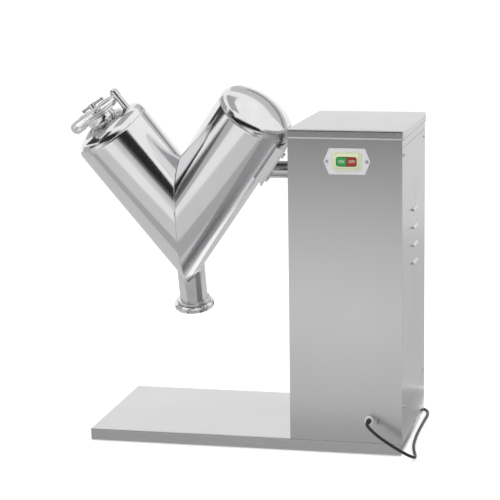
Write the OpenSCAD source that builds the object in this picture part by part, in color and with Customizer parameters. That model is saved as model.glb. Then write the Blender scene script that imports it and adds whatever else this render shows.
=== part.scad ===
// V-shaped drum mixer for dry powders: a folded steel base, a drive cabinet and a polished drum
// Millimetres, +Z up, X to the right, Y to the back, origin on the floor under the middle of the whole part

/* [Base] */
// Width of the base from left to right
base_w = 720; // [680:1:820]
// Depth of the base and of the cabinet
base_d = 370; // [350:1:420]
// Height of the base's top face above the floor
base_h = 31; // [28:1:40]
// Gap between the floor and the base's rim
rim_gap = 2; // [1:0.5:4]
// Thickness of the folded sheet
sheet_t = 1.5; // [1:0.1:2]
// Height of a rubber foot
foot_h = 6; // [5:0.5:9]
// Diameter of a rubber foot
foot_d = 38; // [30:1:46]

/* [Cabinet] */
// Width of the cabinet
cab_w = 252; // [248:1:280]
// Height of the top cover's upper face above the shaft's axis
cab_over = 116; // [105:1:150]
// Height of the top cover's folded rim
cover_rim = 21.5; // [16:0.5:30]
// Height of the side panel's lower edge above the floor
panel_low = 95; // [80:1:140]
// Distance from the side panel's upper edge to the cabinet's top
panel_top_margin = 38; // [30:1:60]
// Width of the cabinet's frame beside the panel, front and back
panel_side_margin = 6; // [5:0.5:12]
// Number of louvres in the side panel
louvre_n = 4; // [2:1:6]
// Distance from one louvre to the next
louvre_pitch = 41; // [30:1:50]

/* [Drum] */
// Outer diameter of both arms
arm_d = 184; // [182:1:186]
// Wall of the drum
drum_wall = 2; // [1.5:0.1:3]
// Angle between each arm and the plane that parts them
arm_angle = 35; // [34:0.5:37]
// Length of the closed arm from the crossing of the axes to its head
right_len = 324; // [318:1:328]
// Length of the arm with the feed opening
left_len = 268; // [255:1:280]
// Small radius at the edge of each head
knuckle_r = 28; // [20:1:32]
// Large radius of each head's crown
crown_r = 170; // [150:1:200]
// Distance from the shaft's axis down to the crossing of the arms' axes
apex_drop = 135; // [132:1:140]
// Distance from the cabinet to the plane that parts the arms
drum_reach = 292; // [290:1:310]
// Height of the shaft's axis above the floor
shaft_h = 612; // [600:1:625]
// Angle by which the parked drum leans forward
rest_tilt = 15; // [0:1:25]

/* [Drive] */
// Diameter of the drum shaft
shaft_d = 40; // [36:1:42]
// Thickness of the plate welded to the shaft
plate_t = 5; // [4:0.5:6]
// Width of that plate
plate_w = 104; // [100:1:110]
// Length of that plate along the arm
plate_l = 105; // [102:1:107]
// Thickness of the saddle where it is thinnest, between the arm and the plate
saddle_t = 1.5; // [1.5:0.5:3]
// Pitch diameter of the drum's pulley
big_pulley_d = 150; // [130:1:160]
// Pitch diameter of the gearbox's pulley
small_pulley_d = 75; // [65:1:80]
// Distance from the shaft's axis down to the gearbox's output axis
gear_drop = 282; // [270:1:290]
// Distance from the cabinet's front to the gearbox's output axis
gear_in = 95; // [90:1:100]
// Diameter of the motor's body
motor_d = 120; // [110:1:124]
// Air gap behind the motor's fan cover
motor_air = 33; // [30:1:50]

/* [Feed end] */
// Outer diameter of the feed neck
feed_d = 70; // [60:1:74]
// Height of the feed flange's face above the head's crown
feed_rise = 12; // [11:0.5:14]
// Diameter of the feed flange
flange_d = 106; // [100:1:108]
// Diameter of the feed lid
lid_d = 114; // [110:1:115]
// Thickness of the lid
lid_t = 3.5; // [2.5:0.5:5]
// Distance from the neck's axis to the clamp's pivot
pivot_x = 66; // [66:0.5:67]
// Thickness of the clamp bar
bar_t = 6; // [5:0.5:7]
// Width of the clamp bar
bar_w = 22; // [20:1:24]

/* [Outlet] */
// Outer diameter of the outlet neck
outlet_d = 66; // [60:1:70]
// Distance from the crossing of the axes down to the outlet's sealing face
outlet_face = 216; // [210:1:225]
// Outer diameter of the union nut
nut_d = 95; // [90:1:100]
// Height of the union nut
nut_h = 14; // [12:0.5:18]
// Number of spanner slots in the nut
nut_slots = 8; // [4:1:10]

/* [Switch] */
// Height of the switch above the shaft's axis
switch_up = 48; // [35:1:60]
// Distance from the cabinet's left edge to the switch
switch_x = 131.5; // [110:0.5:140]
// Width of the switch plate between its tips
switch_w = 103; // [98:1:110]
// Height of the switch plate
switch_d = 57; // [52:1:62]
// Travel of a button
button_travel = 3; // [2:0.5:3]

/* [Cord] */
// Diameter of the mains cord
cord_d = 7; // [6:0.5:7]

/* [Hidden] */
$fn = 64;

// General clearances and overruns
eps = 1;
gap = 0.3;
run_gap = 0.05;
weld_gap = 0.15;
seat_gap = 0.2;

// Base
lip_w = 12;
channel_w = 50;
channel_t = 2;
channel_in = 45;
channel_y = base_d / 2 - channel_in;
channel_end_gap = 3;
foot_in = 42;
foot_x = base_w / 2 - foot_in;
boss_r = 6;
boss_h = 6;
boss_room = 2;

// Screws of the base and cabinet, 5 mm
screw_r = 2.5;
screw_head_r = 5;
screw_head_h = 3;
screw_l = 11;
hole_play = 0.3;
bolt_end_gap = 0.5;
cab_screw_in = 40;

// Cabinet
cab_h = shaft_h + cab_over;
cab_left = base_w / 2 - cab_w;
cab_right = base_w / 2;
cab_front = -base_d / 2;
cab_back = base_d / 2;
cover_play = 0.4;
cover_out = cover_play + sheet_t;
flange_w = 20;
panel_high = cab_h - panel_top_margin;
panel_play = 0.8;
panel_frame = 22;
panel_inset = 16;
louvre_l = 60;
louvre_r = 6;
louvre_down = 200;
louvre_top = cab_h - louvre_down;
wall_screw_r = 2;
wall_head_r = 4;
wall_head_h = 2.4;
wall_screw_l = 8;
cover_screw_in_x = 11;
cover_screw_in_y = 40;

// Drum
arm_r = arm_d / 2;
mitre_m = cab_left - drum_reach;
knuckle_x = arm_r - knuckle_r;
crown_drop = sqrt(pow(crown_r - knuckle_r, 2) - pow(knuckle_x, 2));
head_h = crown_r - crown_drop;
left_apex = left_len + head_h;

// Shaft and bearings
shaft_r = shaft_d / 2;
shaft_back_gap = 36;
shaft_end = cab_right - shaft_back_gap;
shaft_hole_play = 6;
block_rise = 49;
block_in = 42;
block_span = 100;
block_x = [cab_left + block_in, cab_left + block_in + block_span];
block_side = 2;
block_w = 54;
block_l = 184;
block_r = 50;
block_base_t = 15;
block_pitch = 137;
race_r = 36;
ring_r = 26;
ring_w = 30;
race_w = 20;
race_lip = 1;
ball_bite = 1;
ball_r = (race_r - ring_r) / 2 + ball_bite;
ball_n = 9;
bolt_r = 5;
bolt_head_af = 16;
bolt_head_h = 6.5;
flange_r = 40;
flange_t = 3;
flange_neck = 4;

// Plate and saddle on the closed arm, measured along the arm and out from its axis
plate_in = arm_r + saddle_t;
plate_out = plate_in + plate_t;
shaft_meet = (apex_drop + plate_out * sin(arm_angle)) / cos(arm_angle);
plate_below = 25;
plate_low = shaft_meet - plate_below;
saddle_w = 98;
saddle_inset = 3;
saddle_low = plate_low + saddle_inset;
saddle_l = plate_l - 2 * saddle_inset;
saddle_wrap = 22;
saddle_bottom = arm_r - saddle_wrap;
saddle_bolt_r = 4;
saddle_bolt_y = 38;
saddle_bolt_inset = 14;
saddle_bolt_l = 7;
saddle_head_af = 13;
saddle_head_h = 5.3;

// Support frame and shelves
post_w = 25;
post_t = 2;
post_in = 4;
shelf_t = 8;
shelf_top = shaft_h - block_rise;
gear_low = 72;
gear_h = shaft_h - gear_drop;
motor_shelf_top = gear_h - gear_low;
rail_h = 25;
belt_side_room = 5;
belt_front_room = 35;
belt_back_room = 15;

// Belt and pulleys
pulley_in = 192;
pulley_x = cab_left + pulley_in;
pulley_w = 20;
belt_top_w = 13;
belt_low_w = 8.5;
belt_h = 8;
belt_up = 3;
belt_facets = 32;
belt_floor_gap = 1;
pulley_lip = 2;
hub_l = 30;
hub_wall = 9;
gear_shaft_r = 12.5;
gear_shaft_past = 4;
gear_shaft_proud = 2;

// Gearbox
gear_side = 120;
gear_x = cab_left + gear_side;
gear_y = base_d / 2 - gear_in;
gear_w = 84;
gear_l = 104;
gear_up = 92;
gear_foot_l = 20;
worm_up = 50;
wheel_r = 37;
wheel_w = 28;
wheel_room = 3;
wheel_recess = 6;
wheel_rim = 7;
wheel_hub = 8;
worm_r = 12;
worm_l = 52;
worm_room = 5;
worm_end = 12;
cover_r = 46;
gear_cover_t = 6;
cover_spigot = 10;
rotor_shaft_r = 8;
gear_foot_x = 30;

// Motor
motor_wall = 8;
motor_end_t = 10;
rotor_r = 38;
rotor_end_gap = 33;
rotor_tip = 14;
fan_r = 46;
fan_l = 16;
fan_gap = 6;
fan_cover_l = 40;
fan_cover_t = 1.5;
fan_blades = 6;
fan_hub = 6;
fan_hub_in = 4;
fan_blade_t = 2;
fan_slots = 9;
fan_slot_w = 4;
fan_slot_pitch = 10;
fan_slot_share = 0.7;
fin_n = 24;
fin_w = 3;
fin_h = 5;
terminal_w = 60;
terminal_h = 28;
terminal_near_share = 0.25;
terminal_far_share = 0.8;
motor_l = base_d - gear_in - gear_l / 2 - fan_cover_l - motor_air;
rotor_l = motor_l - 2 * rotor_end_gap;

// Feed end, heights along the arm's axis
feed_r = feed_d / 2;
flange_top = left_apex + feed_rise;
feed_flange_t = 4;
gasket_t = 2.5;
gasket_in = 1;
lid_low = flange_top + gasket_t + gap;
lid_top = lid_low + lid_t;
lid_boss_r = 12;
lid_boss_h = 3;
bar_lift = 2.5;
bar_low = lid_top + lid_boss_h + bar_lift;
bar_top = bar_low + bar_t;
bar_slot_w = 8;
bar_slot_in = 15;
bar_slot_out = 46;
hub_more = 5;
pivot_r = 5;
post_r = 8;
hub_end_r = 10;
nut_cap_h = 4;
nut_cap_bevel = 2;
hook_x = -62;
hook_tip = -47;
lip_play = 0.4;
lip_top = flange_top - feed_flange_t - lip_play;
hook_mid = (bar_low + lip_top) / 2;
hook_in_r = (bar_low - lip_top) / 2;
hook_out_r = hook_in_r + bar_t;
spindle_r = 6;
hub_r = 9;
hub_lift = 1.5;
hub_low = bar_top + hub_lift;
hub_h = 10;
tommy_r = 3;
tommy_l = 56;
tommy_shift = 3;
tommy_ball_r = 4.5;

// Outlet
outlet_r = outlet_d / 2;
ferrule_out = 6;
ferrule_r = outlet_r + ferrule_out;
ferrule_h = 12;
outlet_gasket_t = 2;
outlet_gasket_in = 3;
blank_play = 1;
blank_r = ferrule_r - blank_play;
blank_t = 4;
nut_lip = 3;
nut_low = outlet_face + outlet_gasket_t + gap + blank_t + gap + nut_lip;
nut_ridge = 4;
nut_bevel = 1.5;
nut_taper = 4;
nut_mouth = 3;
slot_r = 4;
slot_depth = 3;
thread_gap = 0.3;

// Switch
switch_h = shaft_h + switch_up;
plate_face = 3;
plate_flat_share = 0.765;
boot_w = 56;
boot_h = 32;
boot_t = 1;
boot_out = 8;
button_w = 22;
button_h = 19;
button_gap = 0.7;
button_t = 5.2;
plunger_r = 4;
body_w = 60;
body_h = 36;
body_d = 40;
spring_r = 6.4;
spring_wall = 1.8;
spring_seat = 4;
button_back = boot_out - boot_t - gap - button_t;
body_top = button_back - button_travel - gap;
switch_screw_x = 44;
switch_screw_r = 1.8;
switch_head_r = 3.5;
switch_head_h = 2;
switch_screw_past = 4;

// Earth terminal
cord_x = 179;
cord_h = 82;
earth_side = 21.5;
earth_down = 2;
earth_x = cord_x + earth_side;
earth_h = cord_h - earth_down;
earth_r = 2.5;
earth_l = 22;
earth_in = 8;
washer_r = 5;
washer_t = 1;
earth_nut_af = 8;
earth_nut_h = 4;

// Cord, laid out from the point under the middle of the base; the coil follows a formula
cord_r = cord_d / 2;
grommet_r = 10;
grommet_t = 3;
grommet_lip = 3;
grommet_neck = 5;
relief_l = 20;
relief_root = 2.5;
relief_tip = 1;
cord_sides = 10;
coil_x = 262;
coil_y = 255;
coil_in = 32;
coil_gap = 0.7;
coil_step = cord_d + coil_gap;
coil_rise = cord_d + coil_gap;
coil_turns = 4.5;
coil_rings = 24;
coil_sides = 6;
tie_w = 5;
tie_t = 1.2;
sleeve_l = 24;
plug_l = 24;
plug_h = 21;
plug_w = 24;
blade_l = 17;
blade_w = 6;
blade_t = 1.5;
sleeve_tip = 0.5;
sleeve_root = 3;
earth_pin_r = 2.4;
earth_pin_more = 3;

cord_route = [
    [287, -208, 82], [287, -215, 82], [290, -223, 80], [298, -229, 74], [309, -233, 66],
    [322, -235, 57], [336, -235, 48], [351, -233, 38], [366, -229, 28], [379, -220, 18],
    [388, -207, 10], [390, -190, 5], [388, -172, 3.5], [383, -150, 3.5], [378, -124, 3.5],
    [374, -92, 3.5], [372, -56, 3.5], [371, -20, 3.5], [371, 20, 3.5], [372, 60, 3.5],
    [373, 98, 3.5], [374, 130, 3.5], [373, 156, 3.5], [368, 178, 3.5], [356, 194, 3.5],
    [338, 203, 3.5], [316, 205, 3.5]
];

// The part's origin lies under the middle of its box, without the cord: the clamp's hook is its leftmost
// point, the louvres its rightmost, the strain relief its foremost and the cover's screws its rearmost
reach_left = mitre_m - hook_mid * sin(arm_angle) + hook_x * cos(arm_angle) - hook_out_r;
reach_right = cab_right + louvre_r;
reach_front = cab_front - grommet_t - relief_l;
reach_back = cab_back + cover_out + wall_head_h;
row_shift = -(reach_left + reach_right) / 2;
depth_shift = -(reach_front + reach_back) / 2;

// Frames in which the pieces are drawn

module machine() {
    translate([row_shift, depth_shift, 0]) children();
}

module drum_frame() {
    machine() translate([mitre_m, 0, shaft_h]) rotate([rest_tilt, 0, 0])
        translate([0, 0, -apex_drop]) children();
}

module right_frame() {
    drum_frame() rotate([0, arm_angle, 0]) children();
}

module left_frame() {
    drum_frame() rotate([0, -arm_angle, 0]) children();
}

module at_switch() {
    machine() translate([cab_left + switch_x, cab_front, switch_h]) rotate([90, 0, 0]) children();
}

module at_gear() {
    machine() translate([gear_x, -gear_y, gear_h]) children();
}

module along_x(x) {
    translate([x, 0, 0]) rotate([0, 90, 0]) children();
}

module box(lo, hi) {
    translate(lo) cube(hi - lo);
}

module tube(r_out, r_in, h) {
    difference() {
        cylinder(r = r_out, h = h);
        translate([0, 0, -eps]) cylinder(r = r_in, h = h + 2 * eps);
    }
}

// A screw with a round head; its seat is at z = 0 and its shank points down
module round_screw(r, l, head_r, head_h) {
    translate([0, 0, -l]) cylinder(r = r, h = l);
    cylinder(r1 = head_r, r2 = head_r * 0.8, h = head_h);
}

module hex_bolt(r, l, af, head_h) {
    translate([0, 0, -l]) cylinder(r = r, h = l);
    cylinder(d = af / cos(30), h = head_h, $fn = 6);
}

// Base

function foot_places() = [for (sx = [-1, 1], sy = [-1, 1]) [sx * foot_x, sy * channel_y]];

function cab_screw_places() = [
    for (sx = [0, 1], sy = [-1, 1])
        [cab_left + cab_screw_in + sx * (cab_w - 2 * cab_screw_in), sy * (base_d / 2 - flange_w / 2)]
];

module base_tray() {
    color("gainsboro") machine() {
        difference() {
            box([-base_w / 2, cab_front, rim_gap], [base_w / 2, cab_back, base_h]);
            box([-base_w / 2 + sheet_t, cab_front + sheet_t, rim_gap + sheet_t],
                [base_w / 2 - sheet_t, cab_back - sheet_t, base_h - sheet_t]);
            box([-base_w / 2 + lip_w, cab_front + lip_w, rim_gap - eps],
                [base_w / 2 - lip_w, cab_back - lip_w, rim_gap + 2 * sheet_t]);
            for (p = cab_screw_places())
                translate([p[0], p[1], base_h - 2 * sheet_t])
                    cylinder(r = screw_r + hole_play, h = 3 * sheet_t);
        }
        for (p = cab_screw_places())
            translate([p[0], p[1], base_h - sheet_t - boss_h])
                tube(boss_r, screw_r + run_gap, boss_h);
    }
}

module base_channels() {
    low = foot_h;
    high = base_h - sheet_t;
    color("silver") machine() for (sy = [-1, 1]) {
        difference() {
            box([-base_w / 2 + lip_w + channel_end_gap, sy * channel_y - channel_w / 2, low],
                [base_w / 2 - lip_w - channel_end_gap, sy * channel_y + channel_w / 2, high]);
            box([-base_w / 2, sy * channel_y - channel_w / 2 + channel_t, low + channel_t],
                [base_w / 2, sy * channel_y + channel_w / 2 - channel_t, high + eps]);
            for (sx = [-1, 1])
                translate([sx * foot_x, sy * channel_y, low - eps])
                    cylinder(r = screw_r + run_gap, h = channel_t + 2 * eps);
            for (p = cab_screw_places())
                translate([p[0], p[1], low - eps]) cylinder(r = boss_r + boss_room, h = high);
        }
        for (sx = [-1, 1])
            translate([sx * foot_x, sy * channel_y, low + channel_t])
                tube(boss_r, screw_r + run_gap, boss_h);
    }
}

module rubber_feet() {
    color("dimgray") machine() for (p = foot_places())
        translate([p[0], p[1], 0]) difference() {
            cylinder(d = foot_d, h = foot_h);
            translate([0, 0, -eps]) cylinder(r = screw_r + hole_play, h = foot_h + 2 * eps);
            translate([0, 0, -eps]) cylinder(r = screw_head_r + hole_play, h = screw_head_h + gap + eps);
        }
}

module base_screws() {
    color("silver") machine() {
        for (p = foot_places())
            translate([p[0], p[1], screw_head_h + gap]) mirror([0, 0, 1])
                round_screw(screw_r, screw_l, screw_head_r, screw_head_h);
        for (p = cab_screw_places())
            translate([p[0], p[1], base_h + sheet_t])
                round_screw(screw_r, screw_l - sheet_t, screw_head_r, screw_head_h);
    }
}

// Cabinet

function panel_front() = cab_front + panel_side_margin;
function panel_back() = cab_back - panel_side_margin;

function panel_screw_places() = [
    for (sy = [-1, 1], h = [panel_low + panel_inset, panel_high - panel_inset])
        [sy * (base_d / 2 - panel_side_margin - panel_inset), h]
];

module cabinet_shell() {
    top = cab_h - sheet_t;
    behind = cab_right - 2 * sheet_t;
    color("lightgray") machine() difference() {
        union() {
            difference() {
                box([cab_left, cab_front, base_h], [cab_right, cab_back, top]);
                box([cab_left + sheet_t, cab_front + sheet_t, base_h - eps],
                    [cab_right - sheet_t, cab_back - sheet_t, top + eps]);
                box([cab_right - 2 * sheet_t, panel_front(), panel_low],
                    [cab_right + eps, panel_back(), panel_high]);
            }
            difference() {
                box([cab_left + sheet_t / 2, cab_front + sheet_t / 2, base_h],
                    [cab_right - sheet_t / 2, cab_back - sheet_t / 2, base_h + sheet_t]);
                box([cab_left + flange_w, cab_front + flange_w, base_h - eps],
                    [cab_right - flange_w, cab_back - flange_w, base_h + 2 * sheet_t]);
            }
            difference() {
                box([cab_left + sheet_t / 2, cab_front + sheet_t / 2, top - sheet_t],
                    [cab_right - sheet_t / 2, cab_back - sheet_t / 2, top]);
                box([cab_left + flange_w, cab_front + flange_w, top - 2 * sheet_t],
                    [cab_right - flange_w, cab_back - flange_w, top + eps]);
            }
            difference() {
                box([behind, panel_front() - flange_w / 2 + sheet_t * 3, panel_low - flange_w / 2],
                    [behind + sheet_t, panel_back() + flange_w / 2 - sheet_t * 3,
                     panel_high + flange_w / 2]);
                box([behind - eps, panel_front() + panel_frame, panel_low + panel_frame],
                    [behind + 2 * sheet_t, panel_back() - panel_frame, panel_high - panel_frame]);
            }
        }
        for (p = cab_screw_places())
            translate([p[0], p[1], base_h - eps]) cylinder(r = screw_r + hole_play, h = 4 * sheet_t);
        for (p = panel_screw_places())
            translate([0, p[0], p[1]]) along_x(behind - eps)
                cylinder(r = wall_screw_r + run_gap, h = 3 * sheet_t);
        for (p = cover_screw_places()) cover_screw_hole(p, wall_screw_r + run_gap);
        translate([0, 0, shaft_h]) along_x(cab_left - eps)
            cylinder(r = shaft_r + shaft_hole_play, h = sheet_t + 2 * eps);
        translate([cab_left + switch_x - body_w / 2 - gap, cab_front - eps, switch_h - body_h / 2 - gap])
            cube([body_w + 2 * gap, sheet_t + 2 * eps, body_h + 2 * gap]);
        for (sx = [-1, 1])
            translate([cab_left + switch_x + sx * switch_screw_x, cab_front - eps, switch_h])
                rotate([-90, 0, 0]) cylinder(r = switch_screw_r + run_gap, h = sheet_t + 2 * eps);
        translate([cab_left + cord_x, cab_front - eps, cord_h]) rotate([-90, 0, 0])
            cylinder(r = grommet_r - grommet_lip, h = sheet_t + 2 * eps);
        translate([cab_left + earth_x, cab_front - eps, earth_h]) rotate([-90, 0, 0])
            cylinder(r = earth_r + run_gap, h = sheet_t + 2 * eps);
    }
}

module louvre_hood() {
    translate([cab_right, -louvre_l / 2, 0]) rotate([-90, 0, 0]) difference() {
        cylinder(r = louvre_r, h = louvre_l);
        translate([0, 0, sheet_t]) cylinder(r = louvre_r - sheet_t, h = louvre_l - 2 * sheet_t);
        translate([-2 * louvre_r - sheet_t / 2, -2 * louvre_r, -eps])
            cube([2 * louvre_r, 4 * louvre_r, louvre_l + 2 * eps]);
        translate([-2 * louvre_r, 0, -eps]) cube([4 * louvre_r, 2 * louvre_r, louvre_l + 2 * eps]);
    }
}

module side_panel() {
    color("lightgray") machine() {
        difference() {
            box([cab_right - sheet_t, panel_front() + panel_play, panel_low + panel_play],
                [cab_right, panel_back() - panel_play, panel_high - panel_play]);
            for (i = [0:louvre_n - 1])
                translate([cab_right - 2 * sheet_t, -louvre_l / 2 + sheet_t, louvre_top - i * louvre_pitch])
                    cube([4 * sheet_t, louvre_l - 2 * sheet_t, louvre_r - sheet_t]);
            for (p = panel_screw_places())
                translate([0, p[0], p[1]]) along_x(cab_right - 2 * sheet_t)
                    cylinder(r = wall_screw_r + hole_play, h = 4 * sheet_t);
        }
        for (i = [0:louvre_n - 1])
            translate([0, 0, louvre_top - i * louvre_pitch]) louvre_hood();
    }
}

// Cover screws: two in the front and back rims near the right corners, two in the left rim
function cover_screw_places() = [
    [cab_right - cover_screw_in_x, cab_front, -90], [cab_right - cover_screw_in_x, cab_back, 90],
    [cab_left, cab_front + cover_screw_in_y, 180], [cab_left, cab_back - cover_screw_in_y, 180]
];

module cover_screw_hole(p, r) {
    translate([p[0], p[1], cab_h - cover_rim / 2]) rotate([0, 0, p[2]])
        along_x(-5 * sheet_t) cylinder(r = r, h = 10 * sheet_t);
}

module top_cover() {
    color("gainsboro") machine() difference() {
        box([cab_left - cover_out, cab_front - cover_out, cab_h - cover_rim],
            [cab_right + cover_out, cab_back + cover_out, cab_h]);
        box([cab_left - cover_play, cab_front - cover_play, cab_h - cover_rim - eps],
            [cab_right + cover_play, cab_back + cover_play, cab_h - sheet_t]);
        for (p = cover_screw_places()) cover_screw_hole(p, wall_screw_r + hole_play);
    }
}

module panel_screws() {
    color("silver") machine() {
        for (p = panel_screw_places())
            translate([0, p[0], p[1]]) along_x(cab_right)
                round_screw(wall_screw_r, wall_screw_l, wall_head_r, wall_head_h);
        for (p = cover_screw_places())
            translate([p[0], p[1], cab_h - cover_rim / 2]) rotate([0, 0, p[2]]) along_x(cover_out)
                round_screw(wall_screw_r, wall_screw_l, wall_head_r, wall_head_h);
    }
}

// Support frame inside the cabinet

module post(x, y, h) {
    difference() {
        box([x, y, base_h], [x + post_w, y + post_w, h]);
        box([x + post_t, y + post_t, base_h - eps], [x + post_w - post_t, y + post_w - post_t, h + eps]);
    }
}

module support_frame() {
    x0 = cab_left + flange_w + post_in;
    x1 = cab_right - flange_w - post_in - post_w;
    y0 = cab_front + flange_w + post_in;
    y1 = cab_back - flange_w - post_in - post_w;
    top = shelf_top - shelf_t;
    color("slategray") machine() {
        for (x = [x0, x1], y = [y0, y1]) post(x, y, top);
        for (y = [y0, y1], z = [motor_shelf_top - shelf_t - rail_h, top - rail_h])
            box([x0 + post_w, y, z], [x1, y + post_w, z + rail_h]);
        for (x = [x0, x1], z = [motor_shelf_top - shelf_t - rail_h, top - rail_h])
            box([x, y0 + post_w, z], [x + post_w, y1, z + rail_h]);
    }
}

function block_bolt_places() = [for (x = block_x, sy = [-1, 1]) [x, sy * block_pitch / 2]];
function gear_bolt_places() = [
    for (sx = [-1, 1], sy = [-1, 1]) [gear_x + sx * gear_foot_x, -gear_y + sy * (gear_l + gear_foot_l) / 2]
];

module support_shelves() {
    x0 = cab_left + flange_w + post_in;
    x1 = cab_right - flange_w - post_in;
    inset = post_w + gap;
    color("slategray") machine() difference() {
        union() {
            box([x0, cab_front + flange_w + post_in, shelf_top - shelf_t],
                [x1, cab_back - flange_w - post_in, shelf_top]);
            box([x0 + inset, cab_front + flange_w + post_in, motor_shelf_top - shelf_t],
                [x1 - inset, cab_back - flange_w - post_in, motor_shelf_top]);
        }
        box([pulley_x - pulley_w / 2 - belt_side_room, -big_pulley_d / 2 - belt_front_room,
             shelf_top - 2 * shelf_t],
            [pulley_x + pulley_w / 2 + belt_side_room, big_pulley_d / 2 + belt_back_room, shelf_top + eps]);
        for (p = block_bolt_places())
            translate([p[0], p[1], shelf_top - 2 * shelf_t])
                cylinder(r = bolt_r + run_gap, h = 3 * shelf_t);
        for (p = gear_bolt_places())
            translate([p[0], p[1], motor_shelf_top - 2 * shelf_t])
                cylinder(r = bolt_r + run_gap, h = 3 * shelf_t);
    }
}

module mounting_bolts() {
    color("silver") machine() {
        for (p = block_bolt_places())
            translate([p[0], p[1], shelf_top + block_base_t])
                hex_bolt(bolt_r, block_base_t + shelf_t - bolt_end_gap, bolt_head_af, bolt_head_h);
        for (p = gear_bolt_places())
            translate([p[0], p[1], motor_shelf_top + block_base_t])
                hex_bolt(bolt_r, block_base_t + shelf_t - bolt_end_gap, bolt_head_af, bolt_head_h);
    }
}

module pillow_blocks() {
    color("seagreen") machine() for (x = block_x) difference() {
        union() {
            box([x - block_w / 2, -block_l / 2, shelf_top],
                [x + block_w / 2, block_l / 2, shelf_top + block_base_t]);
            translate([0, 0, shaft_h]) along_x(x - ring_w / 2 - block_side)
                cylinder(r = block_r, h = ring_w + 2 * block_side);
        }
        box([x - block_w, -block_l, shelf_top - block_r], [x + block_w, block_l, shelf_top]);
        translate([0, 0, shaft_h]) along_x(x - block_w) cylinder(r = race_r - race_lip, h = 2 * block_w);
        translate([0, 0, shaft_h]) along_x(x - race_w / 2) cylinder(r = race_r, h = race_w);
        translate([0, 0, shaft_h]) along_x(x) ball_groove(race_r);
        for (sy = [-1, 1])
            translate([x, sy * block_pitch / 2, shelf_top - eps])
                cylinder(r = bolt_r + hole_play, h = block_base_t + 2 * eps);
    }
}

// The groove that the balls run in, centred between the two races
module ball_groove(r) {
    rotate_extrude() translate([(race_r + ring_r) / 2, 0]) circle(r = ball_r + run_gap);
}

module bearing_balls() {
    color("silver") machine() for (x = block_x) translate([0, 0, shaft_h]) along_x(x)
        for (i = [0:ball_n - 1]) rotate([0, 0, i * 360 / ball_n])
            translate([(race_r + ring_r) / 2, 0, 0]) sphere(r = ball_r);
}

module bearing_rings() {
    color("gray") machine() for (x = block_x) translate([0, 0, shaft_h]) along_x(x)
        difference() {
            translate([0, 0, -ring_w / 2]) tube(ring_r, shaft_r + run_gap / 5, ring_w);
            ball_groove(ring_r);
        }
}

module shaft_flange() {
    color("silver") machine() translate([0, 0, shaft_h]) along_x(cab_left - flange_t) {
        tube(flange_r, shaft_r + gap, flange_t);
        translate([0, 0, flange_t])
            tube(shaft_r + shaft_hole_play - seat_gap, shaft_r + gap, sheet_t + flange_neck);
    }
}

// Drum shaft, plate and saddle

module drum_shaft() {
    color("silver") difference() {
        drum_frame() translate([0, 0, apex_drop]) along_x(0)
            cylinder(r = shaft_r, h = shaft_end - mitre_m);
        right_frame() translate([-2 * arm_d, -arm_d, -arm_d])
            cube([2 * arm_d + plate_out, 2 * arm_d, 4 * arm_d]);
    }
}

function saddle_bolt_places() = [
    for (sy = [-1, 1], z = [saddle_low + saddle_bolt_inset, saddle_low + saddle_l - saddle_bolt_inset])
        [sy * saddle_bolt_y, z]
];

module drive_plate() {
    color("silver") right_frame() difference() {
        box([plate_in, -plate_w / 2, plate_low], [plate_out, plate_w / 2, plate_low + plate_l]);
        for (p = saddle_bolt_places())
            translate([0, p[0], p[1]]) along_x(plate_in - eps)
                cylinder(r = saddle_bolt_r + hole_play, h = plate_t + 2 * eps);
    }
}

module saddle() {
    color("silver") right_frame() difference() {
        box([saddle_bottom, -saddle_w / 2, saddle_low], [plate_in, saddle_w / 2, saddle_low + saddle_l]);
        translate([0, 0, saddle_low - eps]) cylinder(r = arm_r + weld_gap, h = saddle_l + 2 * eps);
        for (p = saddle_bolt_places())
            translate([0, p[0], p[1]]) along_x(saddle_bottom)
                cylinder(r = saddle_bolt_r + run_gap, h = plate_out - saddle_bottom);
    }
}

module saddle_bolts() {
    color("silver") right_frame() for (p = saddle_bolt_places())
        translate([0, p[0], p[1]]) along_x(plate_out)
            hex_bolt(saddle_bolt_r, plate_t + saddle_bolt_l, saddle_head_af, saddle_head_h);
}

// Drum

// Half profile of a dished head, inset by t from the outer face, as points of radius and height
function head_curve(t) = concat(
    [for (a = [0:10:90 - head_angle()]) [knuckle_x + (knuckle_r - t) * cos(a),
                                         (knuckle_r - t) * sin(a)]],
    [for (i = [0:8]) let (b = head_angle() * (1 - i / 8))
        [(crown_r - t) * sin(b), (crown_r - t) * cos(b) - crown_drop]]
);

function head_angle() = asin(knuckle_x / (crown_r - knuckle_r));

function reversed(list) = [for (i = [len(list) - 1:-1:0]) list[i]];

module head() {
    rotate_extrude() polygon(concat(head_curve(0), reversed(head_curve(drum_wall))));
}

// A cylinder along each arm's axis, cut at the plane that parts the arms
module arm_solid(side, r, length) {
    intersection() {
        rotate([0, side * arm_angle, 0]) translate([0, 0, -arm_d]) cylinder(r = r, h = length + arm_d);
        translate([side > 0 ? 0 : -3 * arm_d, -arm_d, -arm_d]) cube([3 * arm_d, 2 * arm_d, 4 * arm_d]);
    }
}

module arm_shell(side, length) {
    difference() {
        arm_solid(side, arm_r, length);
        rotate([0, side * arm_angle, 0]) translate([0, 0, -2 * arm_d])
            cylinder(r = arm_r - drum_wall, h = length + 2 * arm_d + eps);
        translate([0, 0, -outlet_face]) cylinder(r = outlet_r - drum_wall, h = outlet_face);
    }
}

module right_arm() {
    color("gainsboro") drum_frame() arm_shell(1, right_len);
}

module left_arm() {
    color("gainsboro") drum_frame() arm_shell(-1, left_len);
}

module right_head() {
    color("gainsboro") right_frame() translate([0, 0, right_len]) head();
}

module left_head() {
    color("gainsboro") left_frame() difference() {
        translate([0, 0, left_len]) head();
        translate([0, 0, left_len]) cylinder(r = feed_r + weld_gap, h = 2 * head_h);
    }
}

// Feed end

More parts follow.
